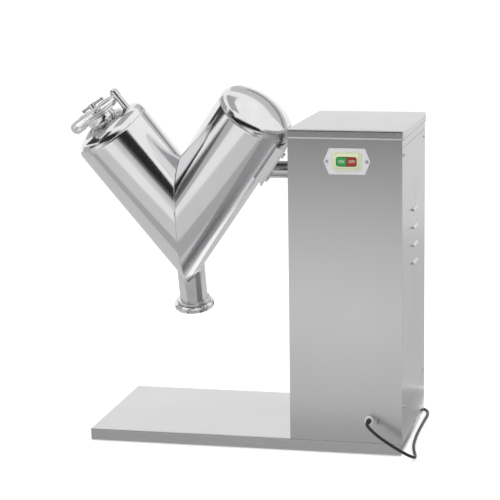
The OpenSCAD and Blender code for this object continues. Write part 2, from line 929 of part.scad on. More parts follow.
module feed_neck() {
    color("gainsboro") left_frame() {
        translate([0, 0, left_apex - drum_wall * 4])
            tube(feed_r, feed_r - drum_wall, feed_rise + drum_wall * 4 - eps);
        translate([0, 0, flange_top - feed_flange_t])
            tube(flange_d / 2, feed_r - drum_wall, feed_flange_t);
    }
}

module feed_gasket() {
    color("white") left_frame() translate([0, 0, flange_top])
        tube(flange_d / 2 - gasket_in, feed_r - drum_wall, gasket_t);
}

module feed_lid() {
    color("gainsboro") left_frame() translate([0, 0, lid_low]) {
        cylinder(d = lid_d, h = lid_t);
        cylinder(r = lid_boss_r, h = lid_t + lid_boss_h);
    }
}

module head_cut(extra) {
    translate([0, 0, left_len - crown_drop]) sphere(r = crown_r + extra, $fn = 128);
}

module clamp_post() {
    hub_bottom = bar_low - hub_more;
    color("silver") left_frame() {
        difference() {
            translate([pivot_x, 0, left_len])
                cylinder(r = post_r, h = hub_bottom - gap - left_len);
            head_cut(weld_gap);
        }
        translate([pivot_x, 0, left_apex])
            cylinder(r = pivot_r, h = bar_top + hub_more + gap - left_apex);
        translate([pivot_x, 0, bar_top + hub_more + gap])
            cylinder(r1 = post_r, r2 = post_r - nut_cap_bevel, h = nut_cap_h);
    }
}

module lip_hook() {
    difference() {
        translate([hook_x, bar_w / 2, hook_mid]) rotate([90, 0, 0]) cylinder(r = hook_out_r, h = bar_w);
        translate([hook_x, bar_w, hook_mid]) rotate([90, 0, 0]) cylinder(r = hook_in_r, h = 2 * bar_w);
        translate([hook_x, -bar_w, hook_mid - 2 * hook_out_r])
            cube([2 * hook_out_r, 2 * bar_w, 4 * hook_out_r]);
    }
    box([hook_x - gap, -bar_w / 2, lip_top - bar_t], [hook_tip, bar_w / 2, lip_top]);
}

module clamp_bar() {
    color("silver") left_frame() difference() {
        union() {
            translate([pivot_x, 0, bar_low - hub_more]) cylinder(r = hub_end_r, h = bar_t + 2 * hub_more);
            box([hook_x - gap, -bar_w / 2, bar_low], [pivot_x, bar_w / 2, bar_top]);
            lip_hook();
        }
        for (s = [-1, 1])
            box([min(s * bar_slot_in, s * bar_slot_out), -bar_slot_w / 2, bar_low - eps],
                [max(s * bar_slot_in, s * bar_slot_out), bar_slot_w / 2, bar_top + eps]);
        translate([pivot_x, 0, bar_low - 2 * hub_more])
            cylinder(r = pivot_r + run_gap, h = bar_t + 4 * hub_more);
        translate([0, 0, bar_low - eps]) cylinder(r = spindle_r + run_gap, h = bar_t + 2 * eps);
    }
}

module clamp_screw() {
    low = lid_top + lid_boss_h + gap;
    color("silver") left_frame() difference() {
        union() {
            translate([0, 0, low]) cylinder(r = spindle_r, h = hub_low + hub_h - low);
            translate([0, 0, hub_low]) cylinder(r = hub_r, h = hub_h);
        }
        translate([0, 0, hub_low + hub_h / 2]) along_x(-2 * hub_r)
            cylinder(r = tommy_r + run_gap, h = 4 * hub_r);
    }
}

module tommy_bar() {
    color("silver") left_frame() translate([tommy_shift, 0, hub_low + hub_h / 2]) {
        along_x(-tommy_l / 2) cylinder(r = tommy_r, h = tommy_l);
        for (s = [-1, 1]) translate([s * tommy_l / 2, 0, 0]) sphere(r = tommy_ball_r);
    }
}

// Outlet, drawn downwards from the crossing of the axes

module outlet_neck() {
    color("gainsboro") drum_frame() difference() {
        union() {
            translate([0, 0, -outlet_face]) cylinder(r = outlet_r, h = outlet_face - arm_r);
            translate([0, 0, -outlet_face]) cylinder(r = ferrule_r, h = ferrule_h);
        }
        translate([0, 0, -outlet_face - eps]) cylinder(r = outlet_r - drum_wall, h = outlet_face);
        for (side = [-1, 1]) arm_solid(side, arm_r + weld_gap, arm_d);
    }
}

module outlet_gasket() {
    color("white") drum_frame() translate([0, 0, -outlet_face - outlet_gasket_t])
        tube(ferrule_r - outlet_gasket_in, outlet_r - drum_wall, outlet_gasket_t);
}

module outlet_blank() {
    color("gainsboro") drum_frame()
        translate([0, 0, -outlet_face - outlet_gasket_t - gap - blank_t])
            cylinder(r = blank_r, h = blank_t);
}

module outlet_nut() {
    ridge = blank_r - nut_ridge;
    color("silver") drum_frame() translate([0, 0, -nut_low]) difference() {
        rotate_extrude() polygon([
            [ridge, 0], [nut_d / 2 - nut_bevel, 0], [nut_d / 2, nut_bevel], [nut_d / 2, nut_h - nut_taper],
            [ferrule_r + nut_mouth, nut_h], [ferrule_r + thread_gap, nut_h],
            [ferrule_r + thread_gap, nut_lip], [ridge, nut_lip]
        ]);
        for (i = [0:nut_slots - 1]) rotate([0, 0, i * 360 / nut_slots])
            translate([nut_d / 2 + slot_r - slot_depth, 0, -eps]) cylinder(r = slot_r, h = nut_h + 2 * eps);
    }
}

// Belt drive

belt_dy = -gear_y;
belt_dz = shaft_h - gear_h;
belt_span = norm([belt_dy, belt_dz]);
belt_turn = atan2(belt_dy, belt_dz);

module pulley(pitch_r, hub_r0, bore) {
    lip = pitch_r + belt_up + pulley_lip;
    floor_r = pitch_r + belt_up - belt_h - 2 * gap - belt_floor_gap;
    groove_top = belt_top_w / 2 + (lip - pitch_r - belt_up) * (belt_top_w - belt_low_w) / 2 / belt_h;
    groove_low = belt_low_w / 2 - (pitch_r + belt_up - belt_h - floor_r)
                 * (belt_top_w - belt_low_w) / 2 / belt_h;
    rotate_extrude() polygon([
        [bore, -pulley_w / 2], [lip, -pulley_w / 2], [lip, -groove_top - gap],
        [floor_r, -groove_low - gap], [floor_r, groove_low + gap], [lip, groove_top + gap],
        [lip, pulley_w / 2], [hub_r0, pulley_w / 2], [hub_r0, hub_l - pulley_w / 2],
        [bore, hub_l - pulley_w / 2]
    ]);
}

module driven_pulley() {
    color("gray") machine() translate([0, 0, shaft_h]) along_x(pulley_x)
        pulley(big_pulley_d / 2, shaft_r + hub_wall, shaft_r + run_gap / 5);
}

module drive_pulley() {
    color("gray") at_gear() along_x(pulley_x - gear_x)
        pulley(small_pulley_d / 2, gear_shaft_r + hub_wall, gear_shaft_r + run_gap / 5);
}

function belt_section(r) = [
    [r + belt_up - belt_h, -belt_low_w / 2], [r + belt_up, -belt_top_w / 2],
    [r + belt_up, belt_top_w / 2], [r + belt_up - belt_h, belt_low_w / 2]
];

// Rings of the belt's section, each as place along the span, radius and angle
function belt_rings(big, small, meet) = concat(
    [for (i = [0 : belt_facets]) [0, big, meet + (360 - 2 * meet) * i / belt_facets]],
    [for (i = [0 : belt_facets]) [belt_span, small, 2 * meet * i / belt_facets - meet]]
);

module drive_belt() {
    rings = belt_rings(big_pulley_d / 2, small_pulley_d / 2,
                       acos((big_pulley_d - small_pulley_d) / 2 / belt_span));
    count = len(rings);
    color("dimgray") machine() translate([0, 0, shaft_h]) along_x(pulley_x) rotate([0, 0, belt_turn])
        polyhedron(
            points = [for (ring = rings) for (p = belt_section(ring[1]))
                [ring[0] + p[0] * cos(ring[2]), p[0] * sin(ring[2]), p[1]]],
            faces = [for (i = [0 : count - 1]) for (j = [0 : 3])
                let (k = (i + 1) % count, m = (j + 1) % 4)
                [4 * i + j, 4 * i + m, 4 * k + m, 4 * k + j]]
        );
}

// Gearbox and motor

module output_shaft() {
    color("silver") at_gear() along_x(-gear_w / 2 - gear_shaft_past)
        cylinder(r = gear_shaft_r, h = pulley_x - gear_x + gear_w / 2 + gear_shaft_past
                                       + hub_l - pulley_w / 2 + gear_shaft_proud);
}

module worm_wheel() {
    color("darkkhaki") at_gear() along_x(-wheel_w / 2) difference() {
        tube(wheel_r, gear_shaft_r + run_gap / 5, wheel_w);
        for (s = [0, 1]) translate([0, 0, s * (wheel_w - wheel_recess) - (1 - s) * eps])
            tube(wheel_r - wheel_rim, gear_shaft_r + wheel_hub, wheel_recess + eps);
    }
}

module gearbox_housing() {
    color("slategray") at_gear() difference() {
        union() {
            box([-gear_w / 2, -gear_l / 2, -gear_low], [gear_w / 2, gear_l / 2, gear_up]);
            box([-gear_w / 2, -gear_l / 2 - gear_foot_l, -gear_low],
                [gear_w / 2, gear_l / 2 + gear_foot_l, -gear_low + block_base_t]);
        }
        along_x(-gear_w) cylinder(r = wheel_r + wheel_room, h = 2 * gear_w);
        translate([0, -gear_l / 2 + worm_end, worm_up]) rotate([-90, 0, 0])
            cylinder(r = worm_r + worm_room, h = gear_l);
        for (sx = [-1, 1], sy = [-1, 1])
            translate([sx * gear_foot_x, sy * (gear_l + gear_foot_l) / 2, -gear_low - eps])
                cylinder(r = bolt_r + hole_play, h = block_base_t + 2 * eps);
    }
}

module gearbox_covers() {
    color("slategray") at_gear() for (s = [0, 1]) mirror([s, 0, 0]) along_x(gear_w / 2) {
        tube(cover_r, gear_shaft_r + run_gap, gear_cover_t);
        translate([0, 0, -cover_spigot])
            tube(wheel_r + wheel_room - seat_gap, gear_shaft_r + run_gap, cover_spigot);
    }
}

motor_front = gear_l / 2;

module on_motor() {
    at_gear() translate([0, motor_front, worm_up]) rotate([-90, 0, 0]) children();
}

module motor_rotor() {
    color("darkgray") on_motor() {
        translate([0, 0, rotor_tip - gear_l])
            cylinder(r = rotor_shaft_r, h = motor_l + gear_l - rotor_tip + fan_l + fan_gap);
        translate([0, 0, -(gear_l + worm_l) / 2]) cylinder(r = worm_r, h = worm_l);
        translate([0, 0, (motor_l - rotor_l) / 2]) cylinder(r = rotor_r, h = rotor_l);
    }
}

module motor_housing() {
    r = motor_d / 2 - fin_h;
    color("steelblue") on_motor() difference() {
        union() {
            cylinder(r = r, h = motor_l);
            cylinder(r = r + fin_h, h = motor_end_t);
            for (i = [0:fin_n - 1]) rotate([0, 0, i * 360 / fin_n])
                translate([r - fin_h, -fin_w / 2, motor_end_t / 2])
                    cube([2 * fin_h, fin_w, motor_l - motor_end_t]);
            box([-terminal_w / 2, -r - terminal_h, motor_l * terminal_near_share],
                [terminal_w / 2, -r + fin_h, motor_l * terminal_far_share]);
        }
        translate([0, 0, motor_end_t]) cylinder(r = r - motor_wall, h = motor_l - 2 * motor_end_t);
        translate([0, 0, -eps]) cylinder(r = rotor_shaft_r + run_gap, h = motor_l + 2 * eps);
    }
}

module motor_fan() {
    color("dimgray") on_motor() translate([0, 0, motor_l + fan_gap]) {
        tube(rotor_shaft_r + fan_hub, rotor_shaft_r + run_gap / 5, fan_l);
        difference() {
            for (i = [0:fan_blades - 1]) rotate([0, 0, i * 360 / fan_blades])
                translate([0, -fan_blade_t / 2, 0]) cube([fan_r, fan_blade_t, fan_l]);
            translate([0, 0, -eps]) cylinder(r = rotor_shaft_r + fan_hub_in, h = fan_l + 2 * eps);
        }
        tube(fan_r, rotor_shaft_r + fan_hub_in, fan_blade_t);
    }
}

module motor_fan_cover() {
    r = motor_d / 2 - fin_h;
    color("steelblue") on_motor() translate([0, 0, motor_l + seat_gap]) difference() {
        cylinder(r = r, h = fan_cover_l);
        translate([0, 0, -eps]) cylinder(r = r - fan_cover_t, h = fan_cover_l - fan_cover_t + eps);
        for (i = [0:fan_slots - 1])
            translate([-r * fan_slot_share, (i - (fan_slots - 1) / 2) * fan_slot_pitch - fan_slot_w / 2,
                       fan_cover_l - 2 * fan_cover_t])
                cube([2 * r * fan_slot_share, fan_slot_w, 4 * fan_cover_t]);
    }
}

// Switch, drawn facing up: z points out of the cabinet's front

module switch_plate() {
    flat = switch_w / 2 * plate_flat_share;
    color("whitesmoke") at_switch() difference() {
        linear_extrude(plate_face) polygon([
            [-switch_w / 2, 0], [-flat, switch_d / 2], [flat, switch_d / 2],
            [switch_w / 2, 0], [flat, -switch_d / 2], [-flat, -switch_d / 2]
        ]);
        translate([-boot_w / 2 - seat_gap, -boot_h / 2 - seat_gap, -eps])
            cube([boot_w + 2 * seat_gap, boot_h + 2 * seat_gap, plate_face + 2 * eps]);
        for (s = [-1, 1]) translate([s * switch_screw_x, 0, -eps])
            cylinder(r = switch_screw_r + hole_play, h = plate_face + 2 * eps);
    }
}

module switch_boot() {
    color("khaki", 0.6) at_switch() difference() {
        translate([-boot_w / 2, -boot_h / 2, 0]) cube([boot_w, boot_h, boot_out]);
        translate([-boot_w / 2 + boot_t, -boot_h / 2 + boot_t, -eps])
            cube([boot_w - 2 * boot_t, boot_h - 2 * boot_t, boot_out - boot_t + eps]);
    }
}

// The switch's body ends just behind where a pressed button stops
module switch_body() {
    color("dimgray") at_switch() difference() {
        translate([-body_w / 2, -body_h / 2, -body_d]) cube([body_w, body_h, body_d + body_top]);
        for (s = [-1, 1]) translate([s * (button_w + button_gap) / 2, 0, 0]) {
            translate([0, 0, body_top - spring_seat]) cylinder(r = spring_r + gap, h = spring_seat + eps);
            translate([0, 0, -body_d / 2]) cylinder(r = plunger_r + run_gap, h = body_d);
        }
    }
}

module switch_screws() {
    color("silver") at_switch() for (s = [-1, 1])
        translate([s * switch_screw_x, 0, plate_face])
            round_screw(switch_screw_r, plate_face + sheet_t + switch_screw_past,
                        switch_head_r, switch_head_h);
}

module button(s) {
    translate([s * (button_w + button_gap) / 2, 0, 0]) {
        translate([-button_w / 2, -button_h / 2, button_back]) cube([button_w, button_h, button_t]);
        translate([0, 0, button_back - body_d / 2 + button_travel + gap])
            cylinder(r = plunger_r, h = body_d / 2);
    }
}

module button_spring(s) {
    translate([s * (button_w + button_gap) / 2, 0, body_top - spring_seat])
        tube(spring_r, spring_r - spring_wall, button_back - body_top + spring_seat);
}

module start_button() {
    color("limegreen") at_switch() button(-1);
}

module stop_button() {
    color("firebrick") at_switch() button(1);
}

module start_spring() {
    color("silver") at_switch() button_spring(-1);
}

module stop_spring() {
    color("silver") at_switch() button_spring(1);
}

module earth_terminal() {
    color("gold") machine() translate([cab_left + earth_x, cab_front, earth_h]) rotate([90, 0, 0]) {
        translate([0, 0, -earth_in]) cylinder(r = earth_r, h = earth_l);
        cylinder(r = washer_r, h = washer_t);
        for (z = [washer_t, -sheet_t - earth_nut_h])
            translate([0, 0, z]) cylinder(d = earth_nut_af / cos(30), h = earth_nut_h, $fn = 6);
    }
}

// Mains cord

module cord_grommet() {
    color("white") machine() translate([cab_left + cord_x, cab_front, cord_h]) rotate([90, 0, 0])
        difference() {
            union() {
                cylinder(r = grommet_r, h = grommet_t);
                translate([0, 0, -sheet_t - grommet_neck])
                    cylinder(r = grommet_r - grommet_lip - seat_gap, h = sheet_t + grommet_neck + eps);
                cylinder(r1 = cord_r + relief_root, r2 = cord_r + relief_tip, h = grommet_t + relief_l);
            }
            translate([0, 0, -relief_l]) cylinder(r = cord_r, h = 3 * relief_l);
        }
}

// Points of a ring of n sides round p, square to the direction d
function ring_points(p, d, r, n) =
    let (f = d / norm(d), s = norm([f[0], f[1]]) < 0.2 ? [1, 0, 0] : [0, 0, 1],
         u = cross(s, f) / norm(cross(s, f)), v = cross(f, u))
    [for (i = [0:n - 1]) p + r * (cos(360 * i / n) * u + sin(360 * i / n) * v)];

// One unbroken tube through a list of points
module swept(points, r, n) {
    last = len(points) - 1;
    dirs = [for (i = [0:last]) points[min(i + 1, last)] - points[max(i - 1, 0)]];
    verts = [for (i = [0:last]) each ring_points(points[i], dirs[i], r, n)];
    sides = [for (i = [0:last - 1], j = [0:n - 1]) let (k = (j + 1) % n)
        each [[i * n + j, (i + 1) * n + j, (i + 1) * n + k], [i * n + j, (i + 1) * n + k, i * n + k]]];
    ends = [for (j = [1:n - 2]) each [[0, j, j + 1], [last * n, last * n + j + 1, last * n + j]]];
    polyhedron(points = verts, faces = concat(sides, ends));
}

// A smooth curve through the route's points, with one point added half way along each span
function midpoint(a, b, c, d) = (-a + 9 * b + 9 * c - d) / 16;

function smoothed(route) = [
    for (i = [0:len(route) - 1]) each concat(
        [route[i]],
        i < len(route) - 1
            ? [midpoint(route[max(i - 1, 0)], route[i], route[i + 1], route[min(i + 2, len(route) - 1)])]
            : [])
];

module power_cord() {
    color("black") machine() swept(cord_points, cord_r, cord_sides);
}

// The coil winds inwards on the floor, climbs a layer where the spiral turns back, and winds out again
coil_mid = coil_turns / 2;

function coil_blend(x) = let (t = min(max(x, 0), 1)) t * t * (3 - 2 * t);

function coil_point(t) =
    let (a = -90 - 360 * t, r = coil_in + coil_step * abs(t - coil_mid),
         z = cord_r + coil_rise * coil_blend((t - coil_mid) * 2 + 0.5))
    [coil_x + r * cos(a), coil_y + r * sin(a), z];

coil_start = coil_point(0) + [cord_d, 0, 0];
coil_end = coil_point(coil_turns) + [cord_d, 0, 0];
coil_points = concat(
    [coil_start],
    [for (i = [0:coil_turns * coil_rings]) coil_point(i / coil_rings)],
    [coil_end]
);
cord_points = concat(smoothed(cord_route), [coil_start + [cord_d, 0, 0], coil_start]);

coil_least_gap = min([
    for (i = [0:len(coil_points) - 1], j = [i + coil_rings / 2:1:len(coil_points) - 1])
        norm(coil_points[i] - coil_points[j]) - cord_d
]);
echo(coil_least_gap = coil_least_gap);

function run_length(points, i = 0) =
    i > len(points) - 2 ? 0 : norm(points[i + 1] - points[i]) + run_length(points, i + 1);
echo(cord_length = run_length(cord_points) + run_length(coil_points));

module cord_coil() {
    color("black") machine() swept(coil_points, cord_r, coil_sides);
}

module coil_tie() {
    middle = coil_x + coil_in + coil_step;
    half = coil_step / 2 + cord_r + gap;
    top = coil_rise + cord_d + gap;
    color("dimgray") machine() difference() {
        box([middle - half - tie_t, coil_y - tie_w / 2, 0],
            [middle + half + tie_t, coil_y + tie_w / 2, top + tie_t]);
        box([middle - half, coil_y - tie_w, tie_t], [middle + half, coil_y + tie_w, top]);
    }
}

module power_plug() {
    color("black") machine() translate(coil_end) rotate([0, 90, 0]) {
        cylinder(r1 = cord_r + sleeve_tip, r2 = cord_r + sleeve_root, h = sleeve_l);
        translate([-plug_h / 2, -plug_w / 2, sleeve_l]) cube([plug_h, plug_w, plug_l]);
    }
    color("gold") machine() translate(coil_end + [sleeve_l + plug_l, 0, 0]) {
        for (s = [-1, 1])
            box([-eps, s * plug_w / 4 - blade_t / 2, -blade_w / 2],
                [blade_l, s * plug_w / 4 + blade_t / 2, blade_w / 2]);
        translate([-eps, 0, -plug_h / 4]) rotate([0, 90, 0])
            cylinder(r = earth_pin_r, h = blade_l + earth_pin_more);
    }
}

base_tray();
base_channels();
rubber_feet();
base_screws();
cabinet_shell();
side_panel();
top_cover();
panel_screws();
support_frame();
support_shelves();
mounting_bolts();
pillow_blocks();
bearing_balls();
bearing_rings();
shaft_flange();
drum_shaft();
drive_plate();
saddle();
saddle_bolts();
right_arm();
left_arm();
right_head();
left_head();
feed_neck();
feed_gasket();
clamp_post();
feed_lid();
clamp_bar();
clamp_screw();
tommy_bar();
outlet_neck();
outlet_gasket();
outlet_blank();
outlet_nut();
driven_pulley();
drive_belt();
drive_pulley();
output_shaft();
worm_wheel();
gearbox_housing();
gearbox_covers();
motor_rotor();
motor_housing();
motor_fan();
motor_fan_cover();
switch_plate();
switch_boot();
switch_body();
switch_screws();
start_button();
stop_button();
start_spring();
stop_spring();
earth_terminal();
cord_grommet();
power_cord();
cord_coil();
coil_tie();
power_plug();
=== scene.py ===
import math

import bmesh
import bpy
import numpy as np
from mathutils import Matrix, Vector


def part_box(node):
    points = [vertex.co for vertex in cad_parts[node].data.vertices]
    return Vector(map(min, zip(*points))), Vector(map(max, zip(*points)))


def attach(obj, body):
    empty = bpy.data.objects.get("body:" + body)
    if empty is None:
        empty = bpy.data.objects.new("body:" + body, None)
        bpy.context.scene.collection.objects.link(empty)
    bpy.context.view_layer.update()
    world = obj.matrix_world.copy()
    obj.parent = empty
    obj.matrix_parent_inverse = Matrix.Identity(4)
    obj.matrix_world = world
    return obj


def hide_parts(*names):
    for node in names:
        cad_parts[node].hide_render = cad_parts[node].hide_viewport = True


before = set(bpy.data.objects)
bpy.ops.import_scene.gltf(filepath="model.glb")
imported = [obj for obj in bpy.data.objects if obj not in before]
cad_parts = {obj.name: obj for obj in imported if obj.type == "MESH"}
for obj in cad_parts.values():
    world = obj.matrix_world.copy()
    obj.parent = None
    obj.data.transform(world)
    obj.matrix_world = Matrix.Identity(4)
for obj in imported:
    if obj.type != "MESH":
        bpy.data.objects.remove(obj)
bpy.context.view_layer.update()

# The camera
# It stands 3.8 m in front of the machine, right of it and above it, and looks down by ten degrees.
# The frame is shifted, so that the vertical edges stay nearly upright, as in a catalogue picture.

base_low, base_high = (np.array(corner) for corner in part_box("base_tray"))
under_machine = np.array([(base_low[0] + base_high[0]) / 2, (base_low[1] + base_high[1]) / 2, 0.0])


def on_machine(points):
    """Points measured from the spot on the floor under the middle of the base, put in the row frame."""
    return np.asarray(points, float) + under_machine


camera_place = on_machine((0.885, -3.783, 1.173))
camera_turn, camera_dip, camera_roll = np.radians((11.1, 9.95, -0.4))
looking = np.array([-math.sin(camera_turn) * math.cos(camera_dip),
                    math.cos(camera_turn) * math.cos(camera_dip),
                    -math.sin(camera_dip)])
level_right = np.array([math.cos(camera_turn), math.sin(camera_turn), 0.0])
camera_right = math.cos(camera_roll) * level_right + math.sin(camera_roll) * np.cross(level_right, looking)
camera_up = np.cross(camera_right, looking)

camera = bpy.data.objects.new("catalogue_camera", bpy.data.cameras.new("catalogue_camera"))
bpy.context.scene.collection.objects.link(camera)
camera_matrix = np.eye(4)
camera_matrix[:3, 0], camera_matrix[:3, 1] = camera_right, camera_up
camera_matrix[:3, 2], camera_matrix[:3, 3] = -looking, camera_place
camera.matrix_world = Matrix(camera_matrix.tolist())
camera.data.sensor_width = 36
camera.data.lens = 122.9
camera.data.shift_x = -0.14
camera.data.shift_y = -0.06
camera.data.clip_end = 200
bpy.context.scene.camera = camera

# The mains cord
# A 7 mm round cord in a soft black sheath leaves the strain relief low on the cabinet's front, hangs
# over the edge of the base, and lies on the floor along its side. The rest is wound into a tied coil.

cord_thick = 0.007
cord_route = on_machine([
    [0.287, -0.208, 0.082], [0.287, -0.215, 0.082], [0.290, -0.223, 0.080], [0.298, -0.229, 0.074],
    [0.309, -0.233, 0.066], [0.322, -0.235, 0.057], [0.336, -0.235, 0.048], [0.351, -0.233, 0.038],
    [0.366, -0.229, 0.028], [0.379, -0.220, 0.018], [0.388, -0.207, 0.010], [0.390, -0.190, 0.005],
    [0.388, -0.172, 0.0035], [0.383, -0.150, 0.0035], [0.378, -0.124, 0.0035], [0.374, -0.092, 0.0035],
    [0.372, -0.056, 0.0035], [0.371, -0.020, 0.0035], [0.371, 0.020, 0.0035], [0.372, 0.060, 0.0035],
    [0.373, 0.098, 0.0035], [0.374, 0.130, 0.0035], [0.373, 0.156, 0.0035], [0.368, 0.178, 0.0035],
    [0.356, 0.194, 0.0035], [0.338, 0.203, 0.0035], [0.316, 0.205, 0.0035]])
coil_middle = on_machine([0.262, 0.255, 0.0])
coil_inner = 0.032
coil_step = cord_thick + 0.0007
coil_turns = 4.5
turn_points = 36


def smoothed(route):
    """One point is added half way along each span, at (-a + 9b + 9c - d) / 16 of its four neighbours."""
    padded = np.concatenate([route[:1], route, route[-1:]])
    halves = (-padded[:-3] + 9 * padded[1:-2] + 9 * padded[2:-1] - padded[3:]) / 16
    result = np.empty((2 * len(route) - 1, 3))
    result[0::2], result[1::2] = route, halves
    return result


def ease(x):
    """Rises from 0 to 1 as x does, level at both ends: 3 x squared less 2 x cubed."""
    x = np.clip(x, 0, 1)
    return x * x * (3 - 2 * x)


def coil_line(turn):
    """The winding: a spiral in and out again, one thickness a turn, that climbs where it turns back."""
    angle = -np.pi / 2 - 2 * np.pi * turn
    radius = coil_inner + coil_step * np.abs(turn - coil_turns / 2)
    height = cord_thick / 2 + coil_step * ease((turn - coil_turns / 2) * 2 + 0.5)
    return coil_middle + np.stack([radius * np.cos(angle), radius * np.sin(angle), height], -1)


def as_vectors(a):
    """Each vector of the array, made one unit long."""
    return a / np.maximum(np.linalg.norm(a, axis=-1, keepdims=True), 1e-12)


def tube_round(line, radius, sides=14):
    """A round tube: at each point of the line a circle of that radius, square to the line's direction."""
    along = as_vectors(np.gradient(line, axis=0))
    across = as_vectors(np.cross(along, np.array([0.0, 0.0, 1.0])))
    over = np.cross(across, along)
    turn = np.linspace(0, 2 * np.pi, sides, endpoint=False)[None, :, None]
    return line[:, None] + radius * (np.cos(turn) * across[:, None] + np.sin(turn) * over[:, None])


def closed_ends(rings):
    """The grid of rings with its first and last ring drawn in to their middles, which closes the ends."""
    first, last = rings[:1].mean(1, keepdims=True), rings[-1:].mean(1, keepdims=True)
    return np.concatenate([np.broadcast_to(first, rings[:1].shape), rings,
                           np.broadcast_to(last, rings[-1:].shape)])


def grid_faces(rows, columns, wrap_rows, wrap_columns, start):
    """Four-sided faces between neighbours of a grid, and each corner's row and column for the map."""
    i, j = np.meshgrid(np.arange(rows - (not wrap_rows)), np.arange(columns - (not wrap_columns)),
                       indexing="ij")
    i, j = i.ravel(), j.ravel()
    corner_rows = np.stack([i, i, i + 1, i + 1], -1)
    corner_columns = np.stack([j, j + 1, j + 1, j], -1)
    faces = start + (corner_rows % rows) * columns + corner_columns % columns
    return faces, corner_rows, corner_columns


def skin(name, body, grids, finish, stands_for=(), sharp=35, wall=None):
    """A piece made of grids of points, each given as (points, wrap the rows, wrap the columns).
    Its map runs in metres along the columns and rows. A wall gives an open skin its thickness inwards."""
    points, faces, maps, start = [], [], [], 0
    for place, wrap_rows, wrap_columns in grids:
        rows, columns = place.shape[:2]
        made, corner_rows, corner_columns = grid_faces(rows, columns, wrap_rows, wrap_columns, start)
        down = np.linalg.norm(np.diff(place, axis=0, append=place[:1]), axis=-1).mean(1)
        across = np.linalg.norm(np.diff(place, axis=1, append=place[:, :1]), axis=-1).mean(0)
        down, across = np.concatenate([[0], np.cumsum(down)]), np.concatenate([[0], np.cumsum(across)])
        points.append(place.reshape(-1, 3))
        faces.append(made)
        maps.append(np.stack([across[corner_columns], down[corner_rows]], -1))
        start += rows * columns
    mesh = bpy.data.meshes.new(name)
    mesh.from_pydata(np.concatenate(points).tolist(), [], np.concatenate(faces).tolist())
    layer = mesh.uv_layers.new(name="metres")
    layer.data.foreach_set("uv", np.concatenate(maps).reshape(-1).astype(np.float32))
    shaped = bmesh.new()
    shaped.from_mesh(mesh)
    bmesh.ops.remove_doubles(shaped, verts=shaped.verts, dist=2e-6)
    bmesh.ops.dissolve_degenerate(shaped, edges=shaped.edges, dist=1e-6)
    bmesh.ops.recalc_face_normals(shaped, faces=shaped.faces)
    shaped.to_mesh(mesh)
    shaped.free()
    return finished(name, body, mesh, finish, stands_for, sharp, wall)


def finished(name, body, mesh, finish, stands_for=(), sharp=35, wall=None):
    """The mesh as a piece of the object: smooth with sharp folds, in its finish, riding on its body."""
    mesh.shade_smooth()
    mesh.set_sharp_from_angle(angle=math.radians(sharp))
    mesh.materials.append(finish)
    piece = bpy.data.objects.new(name, mesh)
    bpy.context.scene.collection.objects.link(piece)
    if wall:
        thickness = piece.modifiers.new("wall", "SOLIDIFY")
        thickness.thickness = wall
        thickness.offset = -1
        thickness.use_even_offset = True
    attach(piece, body)
    if stands_for:
        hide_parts(*([stands_for] if isinstance(stands_for, str) else stands_for))
    return piece


def surface_finish(name, colour, metallic, roughness, grain, dent, blotch=(6, 0.08), mapped=False,
                   spread=0.25):
    """A finish whose grain stretches by the three scales of grain. The grain lifts the surface by dent
    metres and spreads the roughness; blotches of the given size lighten and darken the colour a little."""
    finish = bpy.data.materials.new(name)
    finish.use_nodes = True
    nodes, links = finish.node_tree.nodes, finish.node_tree.links
    shader = nodes["Principled BSDF"]
    shader.inputs["Metallic"].default_value = metallic
    place = nodes.new("ShaderNodeTexCoord").outputs["UV" if mapped else "Object"]
    stretch = nodes.new("ShaderNodeMapping")
    stretch.inputs["Scale"].default_value = grain
    hair = nodes.new("ShaderNodeTexNoise")
    hair.inputs["Scale"].default_value = 1.0
    hair.inputs["Detail"].default_value = 3.0
    links.new(place, stretch.inputs["Vector"])
    links.new(stretch.outputs["Vector"], hair.inputs["Vector"])
    rough = nodes.new("ShaderNodeMapRange")
    rough.inputs["From Min"].default_value = 0.3
    rough.inputs["From Max"].default_value = 0.7
    rough.inputs["To Min"].default_value = roughness * (1 - spread)
    rough.inputs["To Max"].default_value = roughness * (1 + spread)
    links.new(hair.outputs["Fac"], rough.inputs["Value"])
    links.new(rough.outputs["Result"], shader.inputs["Roughness"])
    lift = nodes.new("ShaderNodeBump")
    lift.inputs["Strength"].default_value = 0.6
    lift.inputs["Distance"].default_value = dent
    links.new(hair.outputs["Fac"], lift.inputs["Height"])
    links.new(lift.outputs["Normal"], shader.inputs["Normal"])
    cloud = nodes.new("ShaderNodeTexNoise")
    cloud.inputs["Scale"].default_value = blotch[0]
    cloud.inputs["Detail"].default_value = 4.0
    shade = nodes.new("ShaderNodeValToRGB")
    darker = [channel * (1 - blotch[1]) for channel in colour]
    lighter = [min(1.0, channel * (1 + blotch[1])) for channel in colour]
    shade.color_ramp.elements[0].position, shade.color_ramp.elements[0].color = 0.35, (*darker, 1)
    shade.color_ramp.elements[1].position, shade.color_ramp.elements[1].color = 0.65, (*lighter, 1)
    links.new(nodes.new("ShaderNodeTexCoord").outputs["Object"], cloud.inputs["Vector"])
    links.new(cloud.outputs["Fac"], shade.inputs["Fac"])
    links.new(shade.outputs["Color"], shader.inputs["Base Color"])
    return finish


